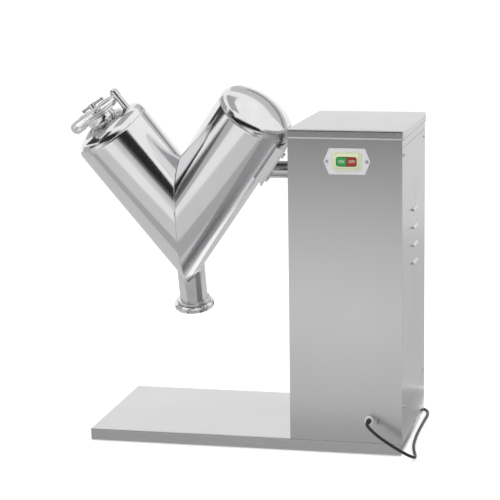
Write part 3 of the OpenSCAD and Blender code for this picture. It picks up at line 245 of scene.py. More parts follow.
cord_sheath = surface_finish("cord_sheath", (0.018, 0.018, 0.019), 0.0, 0.38, (900, 900, 900), 0.00004)
coil_turning = coil_line(np.linspace(0, coil_turns, int(coil_turns * turn_points) + 1))
one_thick = np.array([cord_thick, 0, 0])
coil_end = coil_turning[-1] + one_thick
cord_line = np.concatenate([
    smoothed(np.concatenate([smoothed(cord_route), coil_turning[:1] + 2 * one_thick])),
    coil_turning[:1] + one_thick, coil_turning, [coil_end, coil_end + one_thick / 2]])
mains_cord = skin("mains_cord", "frame", [(closed_ends(tube_round(cord_line, cord_thick / 2)), False, True)],
                  cord_sheath, ("power_cord", "cord_coil"), sharp=60)

# The plug and the coil's tie
# The plug is moulded onto the cord in one piece, with a ribbed sleeve, two flat blades and a round pin.
# The tie is a short strap of woven plastic that goes round the coil's turns and closes on itself.


def rounded(corners, steps=5):
    """An outline of points and fillet radii: each corner gives way to the arc that touches both its sides."""
    corners = np.asarray(corners, float)
    here, radius = corners[:, :2], corners[:, 2:3]
    ahead, behind = as_vectors(np.roll(here, -1, 0) - here), as_vectors(np.roll(here, 1, 0) - here)
    half = np.arccos(np.clip((ahead * behind).sum(1, keepdims=True), -1, 0.9999)) / 2
    middle = here + as_vectors(ahead + behind) * radius / np.sin(half)
    start, end = here + behind * radius / np.tan(half) - middle, here + ahead * radius / np.tan(half) - middle
    sweep = np.maximum(np.pi - 2 * half, 1e-6)[:, None]
    share = np.linspace(0, 1, steps)[None, :, None]
    arcs = np.sin((1 - share) * sweep) * start[:, None] + np.sin(share * sweep) * end[:, None]
    return (middle[:, None] + arcs / np.sin(sweep)).reshape(-1, 2)


def turned(outline, around=96):
    """An outline of radius and height, carried once round the z axis."""
    turn = np.linspace(0, 2 * np.pi, around, endpoint=False)
    radius, height = outline[:, :1], outline[:, 1:2]
    return np.stack([radius * np.cos(turn), radius * np.sin(turn), height + 0 * turn], -1)


def squared(half_width, half_height, power, around=48):
    """A rounded rectangle: cosine and sine, each raised to 2 / power, times the half sizes."""
    turn = np.linspace(0, 2 * np.pi, around, endpoint=False)
    c, s = np.cos(turn), np.sin(turn)
    return np.stack([half_width * np.sign(c) * np.abs(c) ** (2 / power),
                     half_height * np.sign(s) * np.abs(s) ** (2 / power)], -1)


def out_of_coil(points):
    """Turned points, whose z runs out of the coil's end, laid along x in the row frame."""
    return coil_end + np.stack([points[..., 2], points[..., 1], -points[..., 0]], -1)


plug_black = surface_finish("plug_black", (0.02, 0.02, 0.021), 0.0, 0.45, (600, 600, 600), 0.00006)
blade_metal = surface_finish("blade_metal", (0.74, 0.66, 0.42), 1.0, 0.24, (60, 900, 900), 0.00003)
sleeve_long, plug_long = 0.024, 0.024
sleeve_thin, sleeve_grows = 0.0042, 0.0024
groove_deep, groove_step = 0.0006, 0.0029
sleeve_down = np.linspace(0, sleeve_long + 0.001, 60)
sleeve_radius = (sleeve_thin + sleeve_grows * sleeve_down / sleeve_long
                 - groove_deep * (np.sin(sleeve_down / groove_step * np.pi) > 0.3))
sleeve = np.stack([np.concatenate([[0], sleeve_radius]), np.concatenate([[0.0], sleeve_down])], -1)
plug_rows = np.array([[0.62, 0.0], [0.80, 0.0012], [0.92, 0.004], [1.0, 0.009], [0.97, 0.014], [0.97, 0.018],
                      [1.0, 0.0215], [1.0, 0.0236], [0.97, 0.024], [0.0, 0.024]])
plug_section = squared(0.0105, 0.012, 5)
plug_body = np.concatenate([plug_rows[:, :1, None] * plug_section[None], np.broadcast_to(
    plug_rows[:, 1:, None] + sleeve_long, (len(plug_rows), len(plug_section), 1))], -1)
plug = skin("plug_moulding", "frame", [(out_of_coil(turned(sleeve, 28)), False, True),
                                       (out_of_coil(closed_ends(plug_body)), False, True)],
            plug_black, "power_plug", sharp=50)


blade_root = sleeve_long + plug_long - 0.0005
blade_apart, blade_thick, blade_wide, blade_long, blade_taper = 0.012, 0.0015, 0.006, 0.017, 0.0015
pin_radius, pin_round, pin_tip, pin_aside = 0.0024, 0.0016, 0.0679, 0.00525


def blade(side):
    """A flat blade on one side of the plug: its section carried from the plug's face to a tapered tip."""
    section = squared(blade_wide / 2, blade_thick / 2, 5, 24)
    sizes = np.array([1.0, 1.0, 0.8, 0.0])
    reach = np.array([0, blade_long - blade_taper, blade_long, blade_long]) + blade_root
    rows = sizes[:, None, None] * section[None] + np.array([0, side * blade_apart / 2])
    rows = np.concatenate([rows, np.broadcast_to(reach[:, None, None], rows.shape[:2] + (1,))], -1)
    return out_of_coil(rows)


earth_pin = turned(rounded([(0, blade_root, 0), (pin_radius, blade_root, 0), (pin_radius, pin_tip, pin_round),
                            (0, pin_tip, 0)]), 24) + np.array([pin_aside, 0, 0])
plug_blades = skin("plug_blades", "frame", [(blade(-1), False, True), (blade(1), False, True),
                                            (out_of_coil(earth_pin), False, True)],
                   blade_metal)

tie_low, tie_high = (np.array(corner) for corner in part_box("coil_tie"))
tie_plastic = surface_finish("tie_weave", (0.03, 0.03, 0.032), 0.0, 0.75, (1500, 1500, 1500), 0.00012)
tie_middle, tie_half = (tie_low + tie_high) / 2, (tie_high - tie_low) / 2 - 0.0002
tie_thick, tie_edge, tie_points = 0.0011, 0.0024, 64
tie_loop = squared(tie_half[0], tie_half[2], 4, tie_points)
tie_inner = squared(tie_half[0] - tie_thick, tie_half[2] - tie_thick, 4, tie_points)
tie_rows = [(tie_loop, -tie_edge), (tie_loop, tie_edge), (tie_inner, tie_edge), (tie_inner, -tie_edge)]
tie = skin("coil_strap", "frame", [(np.stack([tie_middle + np.stack(
    [loop[:, 0], np.full(tie_points, y), loop[:, 1]], -1) for loop, y in tie_rows]), True, True)],
    tie_plastic, "coil_tie", sharp=50)

# The base
# One stainless sheet, folded down on all four sides and turned in below, with a brushed face.
# Two folded channels are welded under it, and rubber feet are screwed to the channels.

sheet_thick = 0.0015
bend_round, bend_points = 0.0024, 5
corner_round = 0.003
turned_in = 0.012


def round_rectangle(half_x, half_y, corner, inset, steps=7):
    """A rectangle's outline at each inset from its edge, its corners quarter circles that shrink with it."""
    turn = np.linspace(0, np.pi / 2, steps)[None] + np.arange(4)[:, None] * np.pi / 2
    signs = np.array([[1, 1], [-1, 1], [-1, -1], [1, -1]])
    inset = np.asarray(inset, float)[:, None, None]
    radius = np.maximum(corner - inset, 0)
    middle_x = signs[None, :, :1] * np.maximum(half_x - inset - radius, 0)
    middle_y = signs[None, :, 1:] * np.maximum(half_y - inset - radius, 0)
    x, y = middle_x + radius * np.cos(turn), middle_y + radius * np.sin(turn)
    return np.stack([x, y], -1).reshape(len(inset), -1, 2)


def folded_tray(low, high, lip):
    """A tray upside down: a bent outline of insets and heights, carried round the tray's rectangle.
    A row on either side of each bend keeps the flat faces flat."""
    half = (high - low) / 2
    middle = (high + low) / 2
    corners = [(half[0:2].min(), high[2], 0), (2 * bend_round, high[2], 0), (0, high[2], bend_round),
               (0, high[2] - 2 * bend_round, 0), (0, low[2] + 2 * bend_round, 0),
               (0, low[2], bend_round if lip else 0)]
    corners += [(lip, low[2], 0)] if lip else []
    line = np.array(corners, float)
    padded = np.concatenate([line, [[line[-1, 0] + 0.5, line[-1, 1] - 0.5, 0]]])
    profile = rounded(padded, bend_points)[:len(line) * bend_points]
    outline = round_rectangle(half[0], half[1], corner_round, profile[:, 0])
    height = np.broadcast_to(profile[:, 1][:, None, None], outline.shape[:2] + (1,))
    return np.concatenate([outline + middle[:2], height], -1)


sheet_colour = (0.67, 0.67, 0.675)
brushed_flat = surface_finish("brushed_flat", sheet_colour, 1.0, 0.26, (8, 1500, 1500), 0.0000005, (4, 0.02),
                              spread=0.08)
brushed_upright = surface_finish("brushed_upright", sheet_colour, 1.0, 0.28, (2400, 2400, 4), 0.00000004,
                                 (3, 0.02), spread=0.012)
skin("base_sheet", "frame", [(folded_tray(base_low, base_high, turned_in), False, True)],
     brushed_flat, "base_tray", wall=sheet_thick)


def dress(finish, *names):
    """CAD nodes whose shape is right get their finish."""
    for name in names:
        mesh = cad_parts[name].data
        mesh.materials.clear()
        mesh.materials.append(finish)


zinc_plate = surface_finish("zinc_plate", (0.66, 0.67, 0.68), 1.0, 0.30, (300, 300, 300), 0.00004, (60, 0.12))
foot_rubber = surface_finish("foot_rubber", (0.03, 0.03, 0.031), 0.0, 0.72, (700, 700, 700), 0.0001,
                             (40, 0.2))
dress(brushed_flat, "base_channels")
dress(foot_rubber, "rubber_feet")
dress(zinc_plate, "base_screws", "panel_screws", "mounting_bolts", "saddle_bolts")

# The cabinet
# The walls are one sheet bent round three corners, with the right side open for a flush service panel
# that has four pressed louvres. A folded cover sits over the top, and self-tapping screws hold both.


def softened(node, body, width, finish, name):
    """A copy of a CAD node with its flat faces joined and its sharp edges rounded by a small width."""
    shaped = bmesh.new()
    shaped.from_mesh(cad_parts[node].data)
    bmesh.ops.remove_doubles(shaped, verts=shaped.verts, dist=1e-6)
    bmesh.ops.dissolve_limit(shaped, angle_limit=math.radians(1), verts=shaped.verts, edges=shaped.edges)
    bmesh.ops.recalc_face_normals(shaped, faces=shaped.faces)
    mesh = bpy.data.meshes.new(name)
    shaped.to_mesh(mesh)
    shaped.free()
    edges = finished(name, body, mesh, finish, node).modifiers.new("edges", "BEVEL")
    edges.width = width
    edges.segments = 2
    edges.limit_method = "ANGLE"
    edges.angle_limit = math.radians(40)


softened("cabinet_shell", "frame", 0.0006, brushed_upright, "cabinet_walls")
softened("side_panel", "frame", 0.0004, brushed_upright, "service_panel")
cover_low, cover_high = (np.array(corner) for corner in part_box("top_cover"))
skin("cover_sheet", "frame", [(folded_tray(cover_low, cover_high, 0), False, True)],
     brushed_flat, "top_cover", wall=sheet_thick)

# The support frame
# Square tube welded into a frame carries two plate shelves inside the cabinet. It is painted grey.

frame_paint = surface_finish("frame_paint", (0.17, 0.19, 0.21), 0.0, 0.42, (240, 240, 240), 0.00012,
                             (25, 0.08))
dress(frame_paint, "support_frame", "support_shelves")

# The drum
# Two tubes of mirror-polished stainless steel are cut on a slant and welded into a V. Each upper end
# is closed by a dished head. The weld seams are ground and polished, and show as fine lines.

mitre_x, shaft_height, drum_drop = -0.184, 0.612, 0.135
rest_tilt, arm_angle = np.radians((15, 35))
arm_radius, drum_wall = 0.092, 0.002
right_long, left_long = 0.324, 0.268
knuckle, crown, feed_hole = 0.028, 0.170, 0.0352
crown_drop = math.sqrt((crown - knuckle) ** 2 - (arm_radius - knuckle) ** 2)
head_high = crown - crown_drop
seam_wide, seam_deep = 0.0024, 0.0005


def in_drum(points):
    """Points from the crossing of the arms' axes, z up the V's middle, tilted back about the shaft."""
    x, y, z = points[..., 0], points[..., 1], points[..., 2] - drum_drop
    return on_machine(np.stack([x + mitre_x, y * math.cos(rest_tilt) - z * math.sin(rest_tilt),
                                y * math.sin(rest_tilt) + z * math.cos(rest_tilt) + shaft_height], -1))


def in_arm(points, side):
    """Points whose z runs up an arm's axis, leaned right or left by the arm's angle."""
    x, y, z = points[..., 0], points[..., 1], points[..., 2]
    lean = side * arm_angle
    return in_drum(np.stack([x * math.cos(lean) + z * math.sin(lean), y,
                             z * math.cos(lean) - x * math.sin(lean)], -1))


def arm_tube(side, length, around=192, rows=24):
    """A tube from the slanted cut, where its height is its x over the tangent of the lean, to its end.
    Its radius dips by a hair at both welds."""
    turn = np.linspace(0, 2 * np.pi, around, endpoint=False)[None]
    down = np.array([0, 0.0008, 0.0016, 0.0024, 0.004])
    between = np.linspace(0, 1, rows)[1:-1]
    level = np.zeros(len(between))
    share = np.concatenate([np.zeros(len(down)), between, np.ones(len(down))])[:, None]
    shift = np.concatenate([down, level, -down[::-1]])[:, None]
    at_weld = 1 - ease(down / seam_wide)
    dip = np.concatenate([at_weld, level, at_weld[::-1]])[:, None]
    radius = arm_radius - seam_deep * dip
    cut = -side * radius * np.cos(turn) / math.tan(arm_angle)
    height = cut + (length - cut) * share + shift
    return in_arm(np.stack([radius * np.cos(turn), radius * np.sin(turn), height], -1), side)


def head_outline(low, hole, steps=14):
    """Half of a dished head: a knuckle arc that meets a wide crown arc, down to the radius of the hole."""
    meet = math.atan2(arm_radius - knuckle, crown_drop)
    turn = np.linspace(0, np.pi / 2 - meet, steps)
    bent = np.stack([arm_radius - knuckle + knuckle * np.cos(turn), knuckle * np.sin(turn)], -1)
    turn = np.linspace(meet, math.asin(hole / crown), 26)[1:]
    domed = np.stack([crown * np.sin(turn), crown * np.cos(turn) - crown_drop], -1)
    outline = np.concatenate([[[arm_radius - seam_deep, -0.0001], [arm_radius - 0.0002, 0.0010],
                               [arm_radius, 0.0022]], bent[1:], domed])
    return outline + np.array([0, low])


mirror_steel = surface_finish("mirror_steel", (0.80, 0.80, 0.81), 1.0, 0.11, (260, 5, 1), 0.000002, (9, 0.02),
                              mapped=True, spread=0.3)
mirror_plain = surface_finish("mirror_plain", (0.80, 0.80, 0.81), 1.0, 0.12, (160, 160, 160), 0.000002,
                              (30, 0.03))
for side, length, name in ((1, right_long, "right"), (-1, left_long, "left")):
    skin(name + "_tube", "drum", [(arm_tube(side, length), False, True)], mirror_steel,
         name + "_arm", sharp=50, wall=drum_wall)
    dome = head_outline(length, 0.0 if side > 0 else feed_hole)
    skin(name + "_dome", "drum", [(in_arm(turned(dome, 160), side), False, True)], mirror_plain,
         name + "_head", sharp=50, wall=drum_wall)

# The feed end
# A short neck with a turned flange is welded into the left head. A lid lies on a white gasket and is
# pressed down by a screw with a sliding bar. The screw sits in a strap that swings on a post.

feed_radius, flange_radius, flange_thick, edge_round = 0.035, 0.053, 0.004, 0.0008
head_top = left_long + head_high
neck_rise, neck_sunk = 0.012, 0.008
flange_top = head_top + neck_rise
neck_bore = feed_radius - drum_wall
neck_outline = rounded([(neck_bore, head_top - neck_sunk, 0), (feed_radius + 0.0015, head_top - neck_sunk, 0),
                        (feed_radius, head_top - 0.0012, 0.002),
                        (feed_radius, flange_top - flange_thick, 0.0015),
                        (flange_radius, flange_top - flange_thick, edge_round),
                        (flange_radius, flange_top, edge_round), (neck_bore, flange_top, edge_round)])
skin("feed_flange", "drum", [(in_arm(turned(neck_outline), -1), True, True)], mirror_plain,
     "feed_neck", sharp=50)
lid_radius, lid_low, lid_high = 0.057, 0.32604, 0.32954
boss_foot, boss_top, boss_high = 0.0125, 0.0118, 0.33254
lid_outline = rounded([(0, lid_low, 0), (lid_radius, lid_low, 0.0006), (lid_radius, lid_high, 0.0014),
                       (boss_foot, lid_high, 0.001), (boss_top, boss_high, 0.001), (0, boss_high, 0)])
skin("feed_cover", "feed_clamp", [(in_arm(turned(lid_outline), -1), False, True)], mirror_plain,
     "feed_lid", sharp=50)
bar_steel = surface_finish("bar_steel", (0.70, 0.70, 0.71), 1.0, 0.15, (90, 90, 90), 0.000002, (40, 0.04))
softened("clamp_bar", "feed_clamp", 0.0008, bar_steel, "clamp_strap")
dress(bar_steel, "clamp_post", "clamp_screw", "tommy_bar")
gasket_white = surface_finish("gasket_white", (0.80, 0.80, 0.78), 0.0, 0.42, (500, 500, 500), 0.00005,
                              (50, 0.04))
dress(gasket_white, "feed_gasket", "outlet_gasket")

# The outlet
# A neck is welded into the point of the V. Its ferrule takes a gasket and a flat blank, and a notched
# union nut holds them, so that the powder runs straight down when the nut and the blank come off.

outlet_radius, outlet_face = 0.033, 0.216
ferrule_radius, ferrule_tall, weld_flare = 0.039, 0.012, 0.0016
outlet_bore = outlet_radius - drum_wall
nut_low, notch_at, notch_radius, notch_floor = 0.2256, 0.0485, 0.004, 0.0435


def outlet_tube(around=128, rows=16):
    """A tube that rises to where it meets the outside of the two arms, with a small flare at the weld."""
    turn = np.linspace(0, 2 * np.pi, around, endpoint=False)[None]
    share = np.linspace(0, 1, rows)[:, None] ** 2
    radius = outlet_radius + weld_flare * (1 - np.minimum(share * 12, 1)) ** 2
    x, y = radius * np.cos(turn), radius * np.sin(turn)
    top = (np.abs(x) * math.cos(arm_angle) - np.sqrt(arm_radius ** 2 - y ** 2)) / math.sin(arm_angle)
    height = (top + 0.0004) * (1 - share) + (ferrule_tall + 0.0005 - outlet_face) * share
    return np.stack([x, y, height], -1)


ferrule_outline = rounded([(outlet_radius, ferrule_tall + 0.002 - outlet_face, 0),
                           (outlet_radius, ferrule_tall - outlet_face, 0.001),
                           (ferrule_radius, ferrule_tall - outlet_face, 0.001),
                           (ferrule_radius, -outlet_face, edge_round),
                           (outlet_bore, -outlet_face, edge_round), (outlet_bore, -0.150, 0)])
skin("outlet_spout", "drum", [(in_drum(outlet_tube()), False, True),
                              (in_drum(turned(ferrule_outline, 128)), False, True)],
     mirror_plain, "outlet_neck", sharp=50)


def notched_nut(outline, around=384):
    """A turned outline whose radius is held back by eight round notches: along each direction the radius
    is at most where that direction first meets a notch's circle."""
    turn = np.linspace(0, 2 * np.pi, around, endpoint=False)
    off = (turn + np.pi / 8) % (np.pi / 4) - np.pi / 8
    across = np.abs(notch_at * np.sin(off))
    meets = notch_at * np.cos(off) - np.sqrt(np.maximum(notch_radius ** 2 - across ** 2, 0))
    most = np.where(across < notch_radius, meets, 1.0)
    radius = np.minimum(outline[:, :1], np.maximum(most, notch_floor)[None])
    height = np.broadcast_to(outline[:, 1:2], radius.shape)
    return np.stack([radius * np.cos(turn), radius * np.sin(turn), height], -1)


nut_outline = rounded([(0.034, 0, 0.0003), (0.046, 0, 0.001), (0.0475, 0.0015, 0.0008),
                       (0.0475, 0.010, 0.001), (0.042, 0.014, 0.0006), (0.0393, 0.014, 0.0003),
                       (0.0393, 0.003, 0.0005), (0.034, 0.003, 0.0003)])
nut_outline[:, 1] -= nut_low
skin("notched_nut", "union_nut", [(in_drum(notched_nut(nut_outline)), True, True)], mirror_plain,
     "outlet_nut", sharp=40)
dress(mirror_plain, "outlet_blank")

# The drive on the drum
# A ground shaft leaves the cabinet through a flanged sleeve. Its end is welded to a plate that is bolted
# through a saddle to the side of the closed arm.

turned_steel = surface_finish("turned_steel", (0.60, 0.60, 0.61), 1.0, 0.24, (900, 60, 60), 0.00002,
                              (30, 0.05))
dress(turned_steel, "drum_shaft", "output_shaft", "motor_rotor", "bearing_rings", "bearing_balls")
dress(bar_steel, "shaft_flange")
softened("drive_plate", "drum", 0.001, bar_steel, "shaft_plate")
dress(mirror_plain, "saddle")

# The drive inside the cabinet
# A small motor turns a worm gearbox, and a belt takes its slow output up to the drum's shaft.
# Housings are cast and painted, pulleys are turned, the worm's wheel is bronze and the belt is rubber.

cast_green = surface_finish("cast_green", (0.10, 0.15, 0.14), 0.0, 0.48, (180, 180, 180), 0.0003, (30, 0.1))
motor_blue = surface_finish("motor_blue", (0.055, 0.10, 0.18), 0.0, 0.36, (200, 200, 200), 0.00018,
                            (30, 0.08))
fan_black = surface_finish("fan_black", (0.022, 0.022, 0.024), 0.0, 0.5, (500, 500, 500), 0.00008, (30, 0.1))
wheel_bronze = surface_finish("wheel_bronze", (0.62, 0.40, 0.17), 1.0, 0.3, (500, 60, 60), 0.00004, (30, 0.1))
belt_rubber = surface_finish("belt_rubber", (0.025, 0.025, 0.026), 0.0, 0.62, (900, 900, 900), 0.0001,
                             (60, 0.2))
pulley_iron = surface_finish("pulley_iron", (0.42, 0.42, 0.43), 1.0, 0.36, (900, 90, 90), 0.00005, (30, 0.08))
dress(cast_green, "gearbox_housing", "gearbox_covers", "pillow_blocks")
dress(motor_blue, "motor_housing", "motor_fan_cover")
dress(fan_black, "motor_fan", "switch_body")
dress(wheel_bronze, "worm_wheel")
dress(belt_rubber, "drive_belt")
dress(pulley_iron, "drive_pulley", "driven_pulley")
dress(zinc_plate, "start_spring", "stop_spring", "switch_screws")

# The switch
# A pale plate with pointed ends, held by two screws, carries a green and a red push button under a
# clear silicone boot with a yellowish rim. The legends are moulded onto the buttons' faces in white.

switch_middle = on_machine((0.2395, -0.185, 0.660))
button_aside, button_face = 0.01135, 0.0067
legend_high, legend_thick = 0.0082, 0.0003
plate_pale = surface_finish("plate_pale", (0.76, 0.76, 0.79), 0.0, 0.34, (300, 300, 300), 0.00004, (20, 0.03))
softened("switch_plate", "frame", 0.0008, plate_pale, "switch_bezel")
button_green = surface_finish("button_green", (0.0, 0.36, 0.07), 0.0, 0.35, (400, 400, 400), 0.00004,
                              (40, 0.06))
button_red = surface_finish("button_red", (0.36, 0.003, 0.002), 0.0, 0.35, (400, 400, 400), 0.00004,
                            (40, 0.06))
legend_white = surface_finish("legend_white", (0.82, 0.85, 0.80), 0.0, 0.5, (400, 400, 400), 0.00002,
                              (40, 0.03))


def legend(words, name, body, x):
    """Raised letters on a button's face: a text curve with depth, made a mesh in its place."""
    curve = bpy.data.curves.new(name, "FONT")
    curve.body = words
    curve.size = legend_high
    curve.extrude = legend_thick
    curve.align_x, curve.align_y = "CENTER", "CENTER"
    holder = bpy.data.objects.new(name + "_curve", curve)
    bpy.context.scene.collection.objects.link(holder)
    mesh = bpy.data.meshes.new_from_object(holder.evaluated_get(bpy.context.evaluated_depsgraph_get()))
    bpy.data.objects.remove(holder)
    face = switch_middle + np.array([x, -button_face, 0])
    mesh.transform(Matrix.Translation(Vector(face.tolist())) @ Matrix.Rotation(math.pi / 2, 4, "X"))
    finished(name, body, mesh, legend_white)


for words, body, side, colour, slot in (("ON", "start", -1, button_green, "green"),
                                        ("OFF", "stop", 1, button_red, "red")):
    softened(body + "_button", body, 0.0012, colour, body + "_key")
    legend(words, body + "_legend", body, side * button_aside)

boot_clear = bpy.data.materials.new("boot_clear")
boot_clear.use_nodes = True
boot_shader = boot_clear.node_tree.nodes["Principled BSDF"]
boot_shader.inputs["Base Color"].default_value = (0.80, 0.84, 0.46, 1)
boot_shader.inputs["Alpha"].default_value = 0.02
boot_shader.inputs["Coat Weight"].default_value = 0.1
boot_grain = boot_clear.node_tree.nodes.new("ShaderNodeTexNoise")
boot_grain.inputs["Scale"].default_value = 120
boot_spread = boot_clear.node_tree.nodes.new("ShaderNodeMapRange")
boot_spread.inputs["To Min"].default_value, boot_spread.inputs["To Max"].default_value = 0.12, 0.3
boot_lift = boot_clear.node_tree.nodes.new("ShaderNodeBump")
boot_lift.inputs["Distance"].default_value = 0.0001
boot_place = boot_clear.node_tree.nodes.new("ShaderNodeTexCoord")
for source, target in ((boot_place.outputs["Object"], boot_grain.inputs["Vector"]),
                       (boot_grain.outputs["Fac"], boot_spread.inputs["Value"]),
                       (boot_spread.outputs["Result"], boot_shader.inputs["Roughness"]),
                       (boot_grain.outputs["Fac"], boot_lift.inputs["Height"]),
                       (boot_lift.outputs["Normal"], boot_shader.inputs["Normal"])):
    boot_clear.node_tree.links.new(source, target)


def boot_form(sizes):
    """A shallow box of soft rubber: rounded rectangles whose half sizes and reach are the rows given."""
    sizes = np.array(sizes)
    section = squared(1, 1, 7, 96)
    x = sizes[:, :1] * section[None, :, 0]
    z = sizes[:, 1:2] * section[None, :, 1]
    y = np.broadcast_to(-sizes[:, 2:], x.shape)
    return np.stack([x, y, z], -1) + switch_middle


rim_yellow = surface_finish("rim_yellow", (0.72, 0.78, 0.52), 0.0, 0.35, (300, 300, 300), 0.00003, (60, 0.05))
rim_sizes = [(0.0325, 0.0200, 0.0030), (0.0322, 0.0197, 0.0044), (0.0280, 0.0158, 0.0050),
             (0.0268, 0.0148, 0.0066), (0.0252, 0.0134, 0.0078), (0.0238, 0.0119, 0.0080),
             (0.0227, 0.0106, 0.0080)]
window_sizes = [(0.0228, 0.0105, 0.0078), (0.012, 0.004, 0.0078), (0, 0, 0.0078)]
skin("boot_rim", "frame", [(boot_form(rim_sizes), False, True)], rim_yellow, "switch_boot",
     wall=0.0008)
skin("clear_window", "frame", [(boot_form(window_sizes), False, True)], boot_clear, wall=0.0006)

# The cord's way in and the earth terminal
# A white ring and a tapered black sleeve hold the cord where it passes the sheet. Right of them stands
# a short plated stud with two nuts, for the earth wire.

ring_white = surface_finish("ring_white", (0.82, 0.82, 0.80), 0.0, 0.4, (400, 400, 400), 0.00004, (60, 0.03))
exit_middle = on_machine((0.287, -0.185, 0.082))


def out_of_wall(points):
    """Turned points, whose z runs out of the cabinet's front, round the cord's way in."""
    return exit_middle + np.stack([points[..., 0], -points[..., 2], points[..., 1]], -1)


cord_hole = 0.0036
ring_outline = rounded([(cord_hole, -0.006, 0), (0.0068, -0.006, 0), (0.0068, -0.0001, 0),
                        (0.010, -0.0001, 0.0004), (0.0098, 0.003, 0.0012), (0.0062, 0.003, 0.0006),
                        (cord_hole, 0.0026, 0)])
sleeve_outline = rounded([(cord_hole, 0.0022, 0), (0.0060, 0.0022, 0), (0.0057, 0.010, 0.004),
                          (0.0046, 0.0228, 0.0006), (cord_hole, 0.0229, 0.0002)])
skin("grommet_ring", "frame", [(out_of_wall(turned(ring_outline, 64)), True, True)], ring_white,
     "cord_grommet", sharp=50)
skin("grommet_sleeve", "frame", [(out_of_wall(turned(sleeve_outline, 48)), True, True)], plug_black,
     sharp=50)
dress(zinc_plate, "earth_terminal")

# The studio
# A pale floor and an even white surround. Large white and grey cards stand round the machine, seen
# only in its polished faces, and two soft lamps light it from the left and from above.


def card(name, middle, across, up, level):
    """A flat card of one brightness, seen in reflections alone: corners at the middle plus or minus both."""
    middle, across, up = (np.array(v, float) for v in (middle, across, up))
    signs = ((-1, -1), (1, -1), (1, 1), (-1, 1))
    corners = [on_machine(middle + a * across + b * up).tolist() for a, b in signs]
    mesh = bpy.data.meshes.new(name)
    mesh.from_pydata(corners, [], [(0, 1, 2, 3)])
    glow = bpy.data.materials.new(name + "_paper")
    glow.use_nodes = True
    glow.node_tree.nodes.clear()
    light = glow.node_tree.nodes.new("ShaderNodeEmission")
    light.inputs["Color"].default_value = (level, level, level, 1)
    out = glow.node_tree.nodes.new("ShaderNodeOutputMaterial")
    glow.node_tree.links.new(light.outputs["Emission"], out.inputs["Surface"])
    mesh.materials.append(glow)
    piece = bpy.data.objects.new(name, mesh)
    bpy.context.scene.collection.objects.link(piece)
    piece.visible_camera = piece.visible_diffuse = False
    piece.visible_transmission = piece.visible_shadow = False


card("near_floor_card", (0.0, -0.644, 0.002), (3.0, 0, 0), (0, 0.456, 0), 0.65)
card("near_foot_card", (0.0, -0.33, 0.003), (3.0, 0, 0), (0, 0.14, 0), 0.44)
card("far_floor_card", (0.0, -1.70, 0.002), (3.0, 0, 0), (0, 0.60, 0), 0.92)
card("far_dark_card", (0.95, -1.50, 0.004), (0.55, 0, 0), (0, 0.38, 0), 0.12)
card("front_foot_card", (0.0, -2.3, 0.10), (3.0, 0, 0), (0, 0, 0.10), 0.70)
card("front_low_card", (0.0, -2.3, 0.30), (3.0, 0, 0), (0, 0, 0.10), 0.60)
card("front_line_card", (0.0, -2.3, 0.50), (3.0, 0, 0), (0, 0, 0.10), 0.12)
card("front_dark_card", (0.0, -2.3, 1.12), (3.0, 0, 0), (0, 0, 0.52), 0.02)
card("front_high_card", (0.0, -2.3, 1.80), (3.0, 0, 0), (0, 0, 0.16), 0.45)
card("left_floor_card", (-1.8, 1.2, 0.002), (1.4, 0, 0), (0, 1.4, 0), 0.62)
card("back_floor_card", (1.3, 1.5, 0.002), (1.7, 0, 0), (0, 1.1, 0), 0.62)
card("back_far_card", (1.8, 4.8, 0.002), (2.6, 0, 0), (0, 2.2, 0), 0.80)
card("right_floor_card", (1.70, 0.0, 0.002), (1.32, 0, 0), (0, 0.38, 0), 0.40)
card("left_low_card", (-2.4, -0.8, 0.40), (0, 1.8, 0), (0, 0, 0.40), 0.50)
card("left_line_card", (-2.39, -0.85, 0.52), (0, 0.5, 0), (0, 0, 0.20), 0.10)
card("left_dark_card", (-2.4, -0.3, 1.40), (0, 1.3, 0), (0, 0, 0.36), 0.05)
card("left_high_card", (-2.2, 0.6, 2.10), (0, 1.4, 0), (0, 0, 0.40), 0.42)
card("right_low_card", (2.6, 1.2, 0.30), (0, 2.4, 0), (0, 0, 0.30), 0.47)
card("right_card", (2.6, 1.2, 1.20), (0, 2.4, 0), (0, 0, 0.60), 0.51)
card("back_high_card", (1.2, 3.0, 2.9), (2.2, 0, 0), (0, 0, 1.2), 0.60)
card("back_line_card", (1.4, 2.9, 2.25), (1.6, 0, 0), (0, 0, 0.14), 0.20)
card("overhead_card", (-0.6, -0.2, 2.8), (0.7, 0, 0), (0, 1.2, 0), 0.45)
card("left_edge_card", (-1.5, -1.5, 1.9), (0.35, -0.35, 0), (0, 0, 0.6), 0.08)

floor_reach = 60
floor_emission, sky_on_matt = 0.5, 0.62
floor_mesh = bpy.data.meshes.new("floor")
floor_mesh.from_pydata([(-floor_reach, -floor_reach, 0), (floor_reach, -floor_reach, 0),
                        (floor_reach, floor_reach, 0), (-floor_reach, floor_reach, 0)], [], [(0, 1, 2, 3)])
floor = bpy.data.objects.new("floor", floor_mesh)
bpy.context.scene.collection.objects.link(floor)
floor_white = bpy.data.materials.new("floor_white")
floor_white.use_nodes = True
floor_nodes, floor_links = floor_white.node_tree.nodes, floor_white.node_tree.links
floor_shader = floor_nodes["Principled BSDF"]
floor_shader.inputs["Base Color"].default_value = (0.86, 0.86, 0.86, 1)
floor_shader.inputs["Roughness"].default_value = 0.9
floor_shader.inputs["Specular IOR Level"].default_value = 0.0


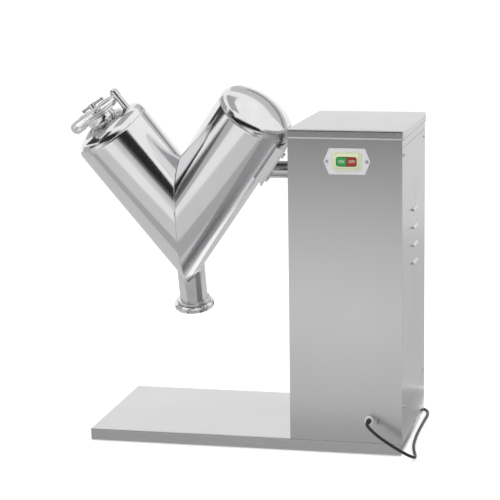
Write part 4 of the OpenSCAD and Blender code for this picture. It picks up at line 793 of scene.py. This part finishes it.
def seen_directly(nodes, links):
    """One for rays from the camera, off gloss or through glass, nought for those that light matt faces."""
    path = nodes.new("ShaderNodeLightPath")
    either = nodes.new("ShaderNodeMath")
    either.operation = "MAXIMUM"
    any_of = nodes.new("ShaderNodeMath")
    any_of.operation = "MAXIMUM"
    links.new(path.outputs["Is Camera Ray"], either.inputs[0])
    links.new(path.outputs["Is Glossy Ray"], either.inputs[1])
    links.new(either.outputs["Value"], any_of.inputs[0])
    links.new(path.outputs["Is Transmission Ray"], any_of.inputs[1])
    return any_of.outputs["Value"]


floor_glow = floor_nodes.new("ShaderNodeMath")
floor_glow.operation = "MULTIPLY"
floor_glow.inputs[1].default_value = floor_emission
floor_links.new(seen_directly(floor_nodes, floor_links), floor_glow.inputs[0])
floor_links.new(floor_glow.outputs["Value"], floor_shader.inputs["Emission Strength"])
floor_shader.inputs["Emission Color"].default_value = (1, 1, 1, 1)
floor_mesh.materials.append(floor_white)

surround = bpy.data.worlds.new("surround")
bpy.context.scene.world = surround
surround.use_nodes = True
sky_nodes, sky_links = surround.node_tree.nodes, surround.node_tree.links
sky = sky_nodes["Background"]
sky.inputs["Color"].default_value = (1, 1, 1, 1)
sky_level = sky_nodes.new("ShaderNodeMapRange")
sky_level.inputs["To Min"].default_value = sky_on_matt
sky_level.inputs["To Max"].default_value = 1.0
sky_links.new(seen_directly(sky_nodes, sky_links), sky_level.inputs["Value"])
sky_links.new(sky_level.outputs["Result"], sky.inputs["Strength"])


def soft_lamp(name, place, size, watts):
    """A square area lamp that looks at the middle of the machine."""
    lamp = bpy.data.lights.new(name, "AREA")
    lamp.size = size
    lamp.energy = watts
    holder = bpy.data.objects.new(name, lamp)
    bpy.context.scene.collection.objects.link(holder)
    place = Vector(on_machine(place).tolist())
    aim = Vector(on_machine((0, 0, 0.35)).tolist()) - place
    holder.matrix_world = Matrix.Translation(place) @ aim.to_track_quat("-Z", "Y").to_matrix().to_4x4()
    holder.visible_glossy = False


soft_lamp("left_lamp", (-2.6, -2.6, 3.0), 2.2, 45)
soft_lamp("top_lamp", (0.6, -0.6, 4.0), 2.6, 40)

bpy.context.scene.view_settings.view_transform = "Standard"
